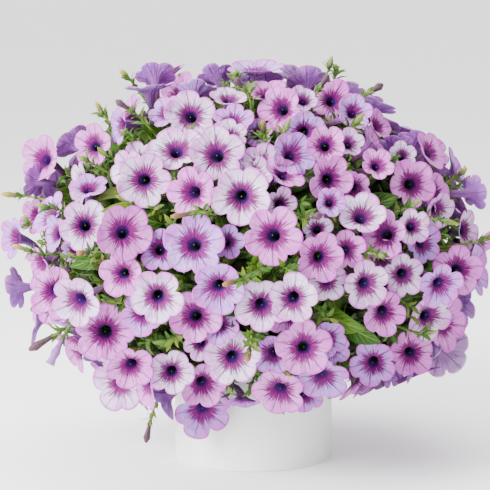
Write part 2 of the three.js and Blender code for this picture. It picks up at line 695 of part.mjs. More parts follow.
// The tangle of stems in the middle of the mound, hollowed where the pot stands in it.
function makeCore() {
  const core = new THREE.SphereGeometry(1, 18, 11).rotateX(Math.PI / 2);
  const place = core.attributes.position;
  for (let i = 0; i < place.count; i += 1) {
    const p = vec(place.getX(i), place.getY(i), place.getZ(i));
    const lump = 1 + 0.012 * Math.sin(9 * p.x + 2) * Math.sin(8 * p.y) * Math.cos(7 * p.z);
    const tall = (p.z > 0 ? MOUND_UP : MOUND_DOWN) - CORE_DEPTH;
    const side = MOUND_RADIUS - CORE_DEPTH;
    place.setXYZ(i, p.x * side * lump, p.y * side * lump, MOUND_Z + p.z * tall * lump);
  }
  const hollow = uprightSolid(POT_RADIUS + 3, 18, -10, POT_HEIGHT + 2, 0, 0);
  return toSolid(core).subtract(hollow);
}

// A leaf from its root to its tip: a blade with a sunken midrib and a tip that curls away.
function leafGeometry(leaf) {
  const rib = leaf.tip.clone().sub(leaf.root);
  const length = rib.length();
  const side = rib.clone().cross(leaf.up).normalize();
  const up = side.clone().cross(rib).normalize();
  const place = (share, across, rise) => {
    const p = along(leaf.root, rib, share);
    p.addScaledVector(side, across * leaf.width);
    return p.addScaledVector(up, rise * leaf.width + LEAF_ARCH * length * share * (1 - share) * 4);
  };
  const outline = [
    place(0, 0, 0), place(0.34, -0.46, 0.12), place(0.66, -0.44, 0.1), place(1, 0, 0),
    place(0.66, 0.44, 0.1), place(0.34, 0.46, 0.12), place(0.48, 0, -0.08),
  ];
  const corners = [...outline, ...outline.map((p) => along(p, up, -LEAF_THICK))];
  const faces = [];
  for (let k = 0; k < 6; k += 1) {
    const next = (k + 1) % 6;
    faces.push([k, 6, next], [k + 7, next + 7, 13]);
    faces.push([k, next, next + 7], [k, next + 7, k + 7]);
  }
  return surface(corners, faces);
}

// Points spread over a leaf, to test that it is clear of the blooms.
function leafPoints(leaf) {
  const rib = leaf.tip.clone().sub(leaf.root);
  const side = rib.clone().cross(leaf.up).normalize();
  const up = side.clone().cross(rib).normalize();
  const points = [];
  for (const share of [0.15, 0.3, 0.45, 0.6, 0.75, 0.9, 1]) {
    const half = leaf.width * 0.5 * Math.min(1, share * 3, (1 - share) * 3);
    for (const across of [-1, -0.5, 0, 0.5, 1]) {
      const p = along(leaf.root, rib, share).addScaledVector(side, across * half);
      points.push(p.addScaledVector(up, LEAF_ARCH * rib.length() * share * (1 - share) * 4));
    }
  }
  return points;
}

// A leaf that rises from the core near a spot of the mound, its tip a little under or over the surface.
function leafAt(spot, sideways, tipDepth, reach, width) {
  const root = atDepth(along(spot, sideways, -reach), CORE_DEPTH + ROOT);
  const tip = atDepth(along(spot, sideways, reach), tipDepth);
  return { root, tip, up: moundNormal(spot), width };
}

function fitsBlooms(points, blooms, margin) {
  return clearOfPotAndCore(points, MOUND_UP)
    && blooms.every((bloom) => bloom.centre.distanceTo(points[0]) > 120 || clearOf(bloom, points, margin, 1));
}

// Leaves at the seen places, then on a spiral of even spots, each turned until it clears the blooms.
function makeLeaves(blooms) {
  const draw = makeDraw(9001);
  const spots = SEEN_LEAVES.map(([px, py, right, up]) => {
    const spot = seenPoint(px, py);
    return { spot, sideways: facing(right, up, 1).sub(VIEW_NEAR).normalize() };
  });
  for (const spot of spiralSpots(LEAF_SPOTS)) {
    spots.push({ spot, sideways: vec(draw() - 0.5, draw() - 0.5, draw() - 0.7).normalize() });
  }
  const leaves = [];
  for (const { spot, sideways } of spots) {
    const out = moundNormal(spot);
    const level = sideways.clone().addScaledVector(out, -sideways.dot(out)).normalize();
    const size = 0.85 + 0.3 * draw();
    search: for (const tipDepth of [0, 10, 20]) {
      for (let k = 0; k < 6; k += 1) {
        const turned = level.clone().applyAxisAngle(out, k * Math.PI / 3);
        const leaf = leafAt(spot, turned, tipDepth, 15 * size, 25 * size);
        leaf.middle = leaf.root.clone().lerp(leaf.tip, 0.5);
        const apart = leaves.every((other) => other.middle.distanceTo(leaf.middle) > LEAF_SPACING);
        if (apart && fitsBlooms(leafPoints(leaf), blooms, 1.6)) {
          leaves.push(leaf);
          break search;
        }
      }
    }
  }
  return leaves;
}

// A shoot: a stem from the core to its foot among the blooms and on to its tip.
function shootAt(foot, tip) {
  return { root: atDepth(foot, CORE_DEPTH + ROOT), foot, tip };
}

function shootPoints(shoot) {
  const points = [];
  for (const share of [0.15, 0.3, 0.45, 0.6, 0.75, 0.9]) {
    points.push(shoot.root.clone().lerp(shoot.foot, share));
  }
  for (const share of [0, 0.3, 0.6, 0.8, 1]) {
    points.push(shoot.foot.clone().lerp(shoot.tip, share));
  }
  return points;
}

// A closed pointed rod through a list of points, each with its radius.
function rodGeometry(points, radii, sides) {
  const last = points.length - 1;
  let [u] = acrossFace(points[1].clone().sub(points[0]).normalize());
  const corners = [points[0]];
  const faces = [];
  for (let i = 1; i < last; i += 1) {
    const run = points[i].clone().sub(points[i - 1]).normalize();
    run.add(points[i + 1].clone().sub(points[i]).normalize()).normalize();
    u = u.clone().addScaledVector(run, -u.dot(run)).normalize();
    const v = run.clone().cross(u);
    for (let k = 0; k < sides; k += 1) {
      const turn = k * Math.PI * 2 / sides;
      const p = along(points[i], u, radii[i] * Math.cos(turn));
      corners.push(p.addScaledVector(v, radii[i] * Math.sin(turn)));
    }
  }
  corners.push(points[last]);
  const end = corners.length - 1;
  for (let k = 0; k < sides; k += 1) {
    const next = (k + 1) % sides;
    faces.push([0, 1 + next, 1 + k]);
    for (let i = 0; i < last - 2; i += 1) {
      const low = 1 + i * sides;
      const high = low + sides;
      faces.push([low + k, low + next, high + next], [low + k, high + next, high + k]);
    }
    faces.push([end - sides + k, end - sides + next, end]);
  }
  return surface(corners, faces);
}

// The shoot's stem with its bud, and a small leaf under the bud, as closed solids.
function shootGeometries(shoot) {
  const { root, foot, tip } = shoot;
  const line = [root, root.clone().lerp(foot, 0.3), foot, foot.clone().lerp(tip, 0.6), tip];
  const rod = rodGeometry(line, [0, STALK_RADIUS, STALK_RADIUS, BUD_RADIUS, 0], 3);
  const out = foot.clone().sub(root).normalize();
  const bud = tip.clone().sub(foot);
  const aside = bud.addScaledVector(out, -bud.dot(out)).normalize().negate();
  const across = out.clone().cross(aside);
  const joint = root.clone().lerp(foot, 0.8);
  const end = along(along(joint, aside, SMALL_LEAF * 0.7), out, SMALL_LEAF * 0.7);
  const middle = joint.clone().lerp(end, 0.5);
  const half = SMALL_LEAF * 0.24;
  const corners = [along(joint, out, -1.5), along(middle, across, half), end, along(middle, across, -half)];
  corners.push(along(middle, aside, -0.9), along(middle, aside, 0.9));
  const faces = [[0, 1, 4], [1, 2, 4], [2, 3, 4], [3, 0, 4], [1, 0, 5], [2, 1, 5], [3, 2, 5], [0, 3, 5]];
  return [rod, surface(corners, faces)];
}

// Shoots at the seen places and on a spiral of even spots, each moved until it clears the blooms.
function makeShoots(blooms) {
  const draw = makeDraw(6113);
  const places = SEEN_SHOOTS.map(([footX, footY, tipX, tipY]) => {
    const foot = seenPoint(footX, footY);
    const run = vec(0, 0, 0).addScaledVector(VIEW_RIGHT, (tipX - footX) * PIXEL);
    run.addScaledVector(VIEW_UP, (footY - tipY) * PIXEL);
    return { foot, run };
  });
  for (const foot of spiralSpots(SHOOT_SPOTS)) {
    const run = vec(draw() - 0.5, draw() - 0.5, draw() - 0.2).normalize().multiplyScalar(16 + 8 * draw());
    if (moundNormal(foot).dot(VIEW_NEAR) < HIDDEN_EDGE) {
      places.push({ foot, run });
    }
  }
  const shoots = [];
  for (const { foot, run } of places) {
    const out = moundNormal(foot);
    const [u, v] = acrossFace(out);
    search: for (const shift of [0, 6, 12, 18]) {
      for (let k = 0; k < 6; k += 1) {
        const turn = k * Math.PI / 3;
        const moved = along(along(foot, u, shift * Math.cos(turn)), v, shift * Math.sin(turn));
        const base = along(moved, out, SHOOT_LIFT);
        const shoot = shootAt(base, along(base.clone().add(run), out, SHOOT_LIFT));
        if (fitsBlooms(shootPoints(shoot), blooms, 3)) {
          shoots.push(shoot);
          break search;
        }
      }
    }
  }
  return shoots;
}

// Every bloom of the plant in place, with the turn of its corners.
function placeBlooms() {
  const seen = seenBlooms();
  const blooms = [...seen, ...hiddenBlooms(seen)];
  groupBlooms(blooms);
  const settled = settleBlooms(blooms);
  const draw = makeDraw(777);
  for (const bloom of settled) {
    bloom.spin = draw() * Math.PI * 2;
  }
  return settled;
}

// One node for each group of blooms: their stalks' fork with every bloom of the group on it.
function makeBloomNodes(blooms) {
  const nodes = [];
  for (let g = 0; g < BLOOM_NODES; g += 1) {
    const own = blooms.filter((bloom) => bloom.group === g);
    if (own.length > 0) {
      const fork = toSolid(forkGeometry(own[0].hub));
      const solid = own.reduce((joined, bloom) => joinCleanly(joined, bloomGeometry(bloom), []), fork);
      const name = `blooms_${String(nodes.length + 1).padStart(2, '0')}`;
      nodes.push(namedMesh(name, toGeometry(solid), TINT_COLOURS[own[0].tint], 0.6));
    }
  }
  return nodes;
}

// The green of the plant as one body: core, crown stems, leaves and shoots, without what meets a bloom.
function makeFoliage(blooms, bloomNodes) {
  let foliage = makeCore();
  for (const [x, y] of stemPlaces()) {
    foliage = foliage.add(uprightSolid(STEM_RADIUS, 6, SOIL_TOP - STEM_DEPTH, POT_HEIGHT + STEM_DEPTH, x, y));
  }
  const bars = bloomNodes.map((node) => toSolid(node.geometry));
  const leaves = makeLeaves(blooms).map(leafGeometry);
  const shoots = makeShoots(blooms).flatMap(shootGeometries);
  for (const piece of [...leaves, ...shoots]) {
    foliage = joinCleanly(foliage, piece, bars);
  }
  return namedMesh('foliage', toGeometry(foliage), 0x4d7a2c, 0.7);
}

const petunia = new THREE.Group();
const blooms = placeBlooms();
const bloomNodes = makeBloomNodes(blooms);
petunia.add(makePot(), makeSoil(), makeFoliage(blooms, bloomNodes), ...bloomNodes);

export default petunia;
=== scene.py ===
# A petunia in a plain white pot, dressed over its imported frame: metres, +Z up, its front towards -Y.
import math

import bmesh
import bpy
import numpy as np
from mathutils import Matrix, Vector


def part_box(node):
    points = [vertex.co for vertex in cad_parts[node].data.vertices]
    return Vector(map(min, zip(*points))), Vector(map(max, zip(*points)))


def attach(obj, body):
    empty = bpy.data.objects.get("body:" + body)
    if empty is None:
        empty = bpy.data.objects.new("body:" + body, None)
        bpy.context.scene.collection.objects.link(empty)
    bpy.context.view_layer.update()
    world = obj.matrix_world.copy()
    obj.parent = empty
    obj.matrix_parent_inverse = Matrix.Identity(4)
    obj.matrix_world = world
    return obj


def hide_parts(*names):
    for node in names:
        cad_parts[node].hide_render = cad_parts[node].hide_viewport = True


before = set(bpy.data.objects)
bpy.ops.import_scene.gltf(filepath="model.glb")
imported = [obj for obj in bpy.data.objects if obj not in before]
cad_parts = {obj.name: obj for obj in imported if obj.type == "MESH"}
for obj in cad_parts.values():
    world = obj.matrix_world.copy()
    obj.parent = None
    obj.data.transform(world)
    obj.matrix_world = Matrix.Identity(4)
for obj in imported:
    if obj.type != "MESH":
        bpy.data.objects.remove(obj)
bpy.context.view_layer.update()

# ---------------------------------------------------------------------------------------------------
# The pot: thin white polypropylene, moulded in one shot with straight sides, a softly rounded rim and
# a foot ring that keeps its four drain holes off the ground. It carries the whole plant.
MM = 0.001
FULL_TURN = 2 * math.pi
POT_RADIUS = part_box("pot")[1].y / MM
POT_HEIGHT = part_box("pot")[1].z / MM
POT_WALL = 3
POT_FLOOR = 4
POT_STEPS = 96
GROOVE_INNER = 56
GROOVE_OUTER = 84
GROOVE_SLOPE = 2
GROOVE_DEEP = 1.5
DRAINS = 4
DRAIN_RADIUS = 6
DRAIN_RING = 70
DRAIN_CUT = 20
RIM_ROUND = 1.1
SHARP_CORNER = 1
SAME_POINT = 1e-6
SCREEN_GAMMA = 2.2


def shade(red, green, blue):
    """A colour read off a screen, as the linear colour that the shaders take."""
    return tuple((c / 255) ** SCREEN_GAMMA for c in (red, green, blue)) + (1.0,)


def add_node(tree, kind, inputs=(), **settings):
    """Adds a shader node; inputs holds (socket, value or the output that feeds it) pairs."""
    made = tree.nodes.new("ShaderNode" + kind)
    for name, value in settings.items():
        setattr(made, name, value)
    for socket, value in inputs:
        if isinstance(value, bpy.types.NodeSocket):
            tree.links.new(value, made.inputs[socket])
        else:
            made.inputs[socket].default_value = value
    return made


def maths(tree, operation, first, second=0.0, third=0.0):
    """A number worked out from one, two or three others."""
    inputs = [(0, first), (1, second), (2, third)]
    return add_node(tree, "Math", inputs, operation=operation).outputs[0]


def ramp(tree, value, low, high, start=0.0, end=1.0):
    """Turns low..high smoothly into start..end, and holds it there outside."""
    inputs = [(0, value), (1, low), (2, high), (3, start), (4, end)]
    made = add_node(tree, "MapRange", inputs, interpolation_type="SMOOTHSTEP")
    return made.outputs[0]


def blend_colours(tree, factor, first, second, blend_type="MIX"):
    inputs = [(0, factor), (6, first), (7, second)]
    made = add_node(tree, "Mix", inputs, data_type="RGBA", blend_type=blend_type)
    return made.outputs[2]


def noise(tree, vector, scale, detail=2.0, roughness=0.5):
    inputs = [("Vector", vector), ("Scale", scale), ("Detail", detail), ("Roughness", roughness)]
    return add_node(tree, "TexNoise", inputs).outputs[0]


def own_place(tree):
    """The place on the piece, in metres, that a pattern reads."""
    return add_node(tree, "TexCoord").outputs["Object"]


def start_material(name, constants):
    """A new material's tree and its Principled BSDF, with the values that are the same all over."""
    material = bpy.data.materials.new(name)
    material.use_nodes = True
    shader = material.node_tree.nodes["Principled BSDF"]
    for socket, value in constants.items():
        shader.inputs[socket].default_value = value
    return material, material.node_tree, shader


def bump(tree, shader, height, distance, strength=1.0):
    inputs = [("Height", height), ("Distance", distance), ("Strength", strength)]
    tree.links.new(add_node(tree, "Bump", inputs).outputs[0], shader.inputs["Normal"])


def spin_outline(outline, steps):
    """A bmesh spun about the Z axis from the (radius, height) points of its outline, poles merged."""
    bm = bmesh.new()
    points = [bm.verts.new((r, 0, z)) for r, z in outline]
    edges = [bm.edges.new(pair) for pair in zip(points, points[1:])]
    bmesh.ops.spin(bm, geom=points + edges, cent=(0, 0, 0), axis=(0, 0, 1), angle=FULL_TURN,
                   steps=steps, use_merge=True)
    bmesh.ops.remove_doubles(bm, verts=bm.verts, dist=SAME_POINT)
    return bm


def spin_closed(outline, steps):
    """The same from an outline in millimetres that closes at the axis, its faces turned outwards."""
    bm = spin_outline([(r * MM, z * MM) for r, z in outline], steps)
    bmesh.ops.recalc_face_normals(bm, faces=bm.faces)
    return bm


def make_mesh(bm, name):
    mesh = bpy.data.meshes.new(name)
    bm.to_mesh(mesh)
    bm.free()
    return mesh


def make_object(name, data):
    made = bpy.data.objects.new(name, data)
    bpy.context.scene.collection.objects.link(made)
    return made


def finish_piece(bm, name, materials, nodes):
    """Makes the piece's object, which rides on the body and stands for its CAD nodes."""
    mesh = make_mesh(bm, name)
    for polygon in mesh.polygons:
        polygon.use_smooth = True
    for material in materials:
        mesh.materials.append(material)
    piece = make_object(name, mesh)
    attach(piece, "root")
    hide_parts(*nodes)
    return piece


def pot_material():
    """White plastic with a faint satin ripple, and a little compost dust low on its sides."""
    material, tree, shader = start_material("white_pot_plastic", {"Specular IOR Level": 0.45})
    place = own_place(tree)
    height = add_node(tree, "SeparateXYZ", [(0, place)]).outputs[2]
    specks = ramp(tree, noise(tree, place, 240, 3), 0.55, 0.72)
    low = ramp(tree, height, 0.0, 0.05, 1.0, 0.0)
    dust = maths(tree, "MULTIPLY", maths(tree, "MULTIPLY", specks, low), 0.1)
    clouds = noise(tree, place, 9, 2)
    white = blend_colours(tree, clouds, shade(236, 236, 234), shade(247, 247, 246))
    colour = blend_colours(tree, dust, white, shade(150, 132, 108))
    tree.links.new(colour, shader.inputs["Base Color"])
    rough = maths(tree, "MULTIPLY_ADD", noise(tree, place, 60, 3), 0.16, 0.36)
    tree.links.new(rough, shader.inputs["Roughness"])
    bump(tree, shader, noise(tree, place, 420, 2), 0.00012, 0.6)
    return material


inside = POT_RADIUS - POT_WALL
pot = spin_closed([
    (0, 0), (GROOVE_INNER, 0), (GROOVE_INNER + GROOVE_SLOPE, GROOVE_DEEP),
    (GROOVE_OUTER - GROOVE_SLOPE, GROOVE_DEEP), (GROOVE_OUTER, 0), (POT_RADIUS, 0),
    (POT_RADIUS, POT_HEIGHT), (inside, POT_HEIGHT), (inside, POT_FLOOR), (0, POT_FLOOR),
], POT_STEPS)
corners = [e for e in pot.edges if len(e.link_faces) == 2 and e.calc_face_angle() > SHARP_CORNER]
bmesh.ops.bevel(pot, geom=corners, offset=RIM_ROUND * MM, affect="EDGES", segments=3, profile=0.5,
                material=-1)
pot = finish_piece(pot, "pot_shell", [pot_material()], ["pot"])

drains = bmesh.new()
for number in range(DRAINS):
    turn = (number + 0.5) * FULL_TURN / DRAINS
    made = bmesh.ops.create_cone(drains, cap_ends=True, segments=24, radius1=DRAIN_RADIUS * MM,
                                 radius2=DRAIN_RADIUS * MM, depth=DRAIN_CUT * MM)
    place = Vector((math.cos(turn), math.sin(turn), 0)) * DRAIN_RING * MM
    bmesh.ops.translate(drains, verts=made["verts"], vec=place)
drain_cutter = make_object("drains", make_mesh(drains, "drains"))
cut = pot.modifiers.new("drains", "BOOLEAN")
cut.object = drain_cutter
cut.operation = "DIFFERENCE"
cut.solver = "EXACT"
bpy.context.view_layer.update()
cut_pot = bpy.data.meshes.new_from_object(pot.evaluated_get(bpy.context.evaluated_depsgraph_get()))
pot.modifiers.clear()
pot.data = cut_pot
bpy.data.objects.remove(drain_cutter)


# ---------------------------------------------------------------------------------------------------
# The compost: dark peat with bits of bark and white perlite, tipped in loose and firmed round the
# three crown stems a little under the rim.
SOIL_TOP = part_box("potting_soil")[1].z / MM
SOIL_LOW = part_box("potting_soil")[0].z / MM
SOIL_GAP = 0.5
SOIL_RINGS = 8
SOIL_SINK = 1
SOIL_ROUGH = 3
SOIL_EDGE = 2
CRUMBS = 150
CRUMB_SINK = 1.5
CRUMB_EDGE = 5
DRAW_FACTOR = 1664525
DRAW_STEP = 1013904223
DRAW_RANGE = 4294967296


def make_draw(seed):
    """A repeatable draw of numbers from 0 to 1, the same as the solids were placed with."""
    state = seed

    def draw():
        nonlocal state
        state = (state * DRAW_FACTOR + DRAW_STEP) % DRAW_RANGE
        return state / DRAW_RANGE

    return draw


def soil_material():
    """Dark damp peat in grains, with pale specks of perlite."""
    material, tree, shader = start_material("compost", {"Roughness": 0.95})
    place = own_place(tree)
    grain = noise(tree, place, 330, 4, 0.7)
    dark = blend_colours(tree, grain, shade(28, 20, 15), shade(88, 66, 48))
    perlite = ramp(tree, noise(tree, place, 150, 1), 0.7, 0.74)
    colour = blend_colours(tree, perlite, dark, shade(215, 210, 200))
    tree.links.new(colour, shader.inputs["Base Color"])
    bump(tree, shader, grain, 0.002)
    return material


side = inside - SOIL_GAP
rings = [(side * k / SOIL_RINGS, SOIL_TOP - SOIL_SINK) for k in range(SOIL_RINGS, -1, -1)]
soil = spin_closed([(0, SOIL_LOW), (side, SOIL_LOW)] + rings, POT_STEPS // 2)
draw = make_draw(31)
for vert in soil.verts:
    on_top = vert.co.z > (SOIL_TOP - SOIL_EDGE) * MM
    if on_top and vert.co.xy.length < (side - SOIL_EDGE) * MM:
        vert.co.z += (draw() - 0.6) * SOIL_ROUGH * MM
for crumb in range(CRUMBS):
    turn, reach = draw() * FULL_TURN, math.sqrt(draw()) * (side - CRUMB_EDGE) * MM
    made = bmesh.ops.create_icosphere(soil, subdivisions=1, radius=(1 + 2 * draw()) * MM)
    place = Vector((reach * math.cos(turn), reach * math.sin(turn), (SOIL_TOP - CRUMB_SINK) * MM))
    bmesh.ops.translate(soil, verts=made["verts"], vec=place)
finish_piece(soil, "compost", [soil_material()], ["potting_soil"])


# ---------------------------------------------------------------------------------------------------
# The blooms: each corolla is five petals grown into one thin, matt trumpet with ruffled lobes, almost
# white to lilac-pink, purple at its rim, with dark veins that run into a dark violet throat, painted
# near-black as shade deep in its tube.

# Their faces sit on a mound, the shape that the plant has grown to: a wide dome over the pot that
# hangs past its rim. All places are in millimetres until a mesh is made.
MOUND_Z = 230
MOUND_RADIUS = 250
MOUND_UP = 205
MOUND_DOWN = 165
SKIRT_RADIUS = 124
POT_CLEAR = 8
CORE_DEPTH = 45
HUB_DEPTH = 34

# The view that places were read in: where it looks, from how far and how steeply, and the size of one
# of its pixels where it looks.
EYE_AIM = np.array([-9.8, 0, 245.2])
EYE_DISTANCE = 2600
EYE_TILT = math.radians(8)
PIXEL = 1.15
PIXEL_MIDDLE = 245
RAY_SPAN = (-300, 21)
VIEW_RIGHT = np.array([1.0, 0, 0])
VIEW_UP = np.array([0, math.sin(EYE_TILT), math.cos(EYE_TILT)])
VIEW_NEAR = np.array([0, -math.cos(EYE_TILT), math.sin(EYE_TILT)])
GOLDEN_ANGLE = math.pi * (3 - math.sqrt(5))
NEARLY_UPRIGHT = 0.05


def unit(v):
    return v / np.linalg.norm(v)


def mound_level(points, depth):
    """How far out each point lies: 1 on the mound's surface, or on a smaller mound at that depth."""
    up = np.where(points[..., 2] > MOUND_Z, MOUND_UP, MOUND_DOWN) - depth
    across = points[..., 0] ** 2 + points[..., 1] ** 2
    return np.sqrt(across / (MOUND_RADIUS - depth) ** 2 + ((points[..., 2] - MOUND_Z) / up) ** 2)


def mound_normal(p):
    """The way straight out of the mound at a point."""
    up = MOUND_UP if p[2] > MOUND_Z else MOUND_DOWN
    spread = np.array([MOUND_RADIUS ** 2, MOUND_RADIUS ** 2, up ** 2])
    return unit((p - [0, 0, MOUND_Z]) / spread)


def seen_point(px, py):
    """The point of the mound's front seen at a place in the view, or the nearest past its outline."""
    aim = EYE_AIM + VIEW_RIGHT * (px - PIXEL_MIDDLE) * PIXEL + VIEW_UP * (PIXEL_MIDDLE - py) * PIXEL
    ray = unit(aim - EYE_AIM - VIEW_NEAR * EYE_DISTANCE)
    points = aim + np.arange(*RAY_SPAN)[:, None] * ray
    level = mound_level(points, 0)
    in_pot = (points[:, 2] < MOUND_Z) & (np.hypot(points[:, 0], points[:, 1]) < SKIRT_RADIUS)
    level = np.where(in_pot, np.inf, level)
    reached = np.nonzero(level <= 1)[0]
    return points[reached[0] if len(reached) else int(np.argmin(level))]


def facing(right, up, side):
    """The direction with these parts right and up in the view, to the viewer or, at side -1, away."""
    near = side * math.sqrt(max(0.0, 1 - right * right - up * up))
    return unit(VIEW_RIGHT * right + VIEW_UP * up + VIEW_NEAR * near)


def lean_limit(direction, main, limit):
    """Turns a direction towards a second one until it is no more than a given angle away."""
    angle = math.acos(max(-1.0, min(1.0, float(direction @ main))))
    if angle <= limit:
        return direction
    aside = unit(direction - main * (direction @ main))
    return main * math.cos(limit) + aside * math.sin(limit)


def spiral_spots(count):
    """An even spiral of spots over the mound, without those under it by the pot."""
    spots = []
    for i in range(count):
        height = 1 - (2 * i + 1) / count
        ring = math.sqrt(1 - height * height) * MOUND_RADIUS
        tall = MOUND_UP if height > 0 else MOUND_DOWN
        turn = i * GOLDEN_ANGLE
        if ring > SKIRT_RADIUS or height > 0:
            spot = [math.cos(turn) * ring, math.sin(turn) * ring, MOUND_Z + height * tall]
            spots.append(np.array(spot))
    return spots


def at_depth(point, depth):
    """Slides a point towards the mound's middle to a depth under its surface, clear of the pot."""
    middle = np.array([0, 0, MOUND_Z])
    p = (point - middle) / mound_level(point, depth) + middle
    outward = (POT_RADIUS + 2 * POT_CLEAR) / math.hypot(p[0], p[1])
    if p[2] < POT_HEIGHT + POT_CLEAR and outward > 1:
        p = p * [outward, outward, 1]
    return p


def across_face(face):
    """The two directions across a bloom's face."""
    u = np.array([-face[1], face[0], 0])
    if np.linalg.norm(u) < NEARLY_UPRIGHT:
        u = np.array([1.0, 0, 0])
    u = unit(u)
    return u, np.cross(face, u)


def wander(draw, sink):
    """A chance way to go: evenly to each side, and the less upwards the more its sink."""
    return np.array([draw() - 0.5, draw() - 0.5, draw() - sink])
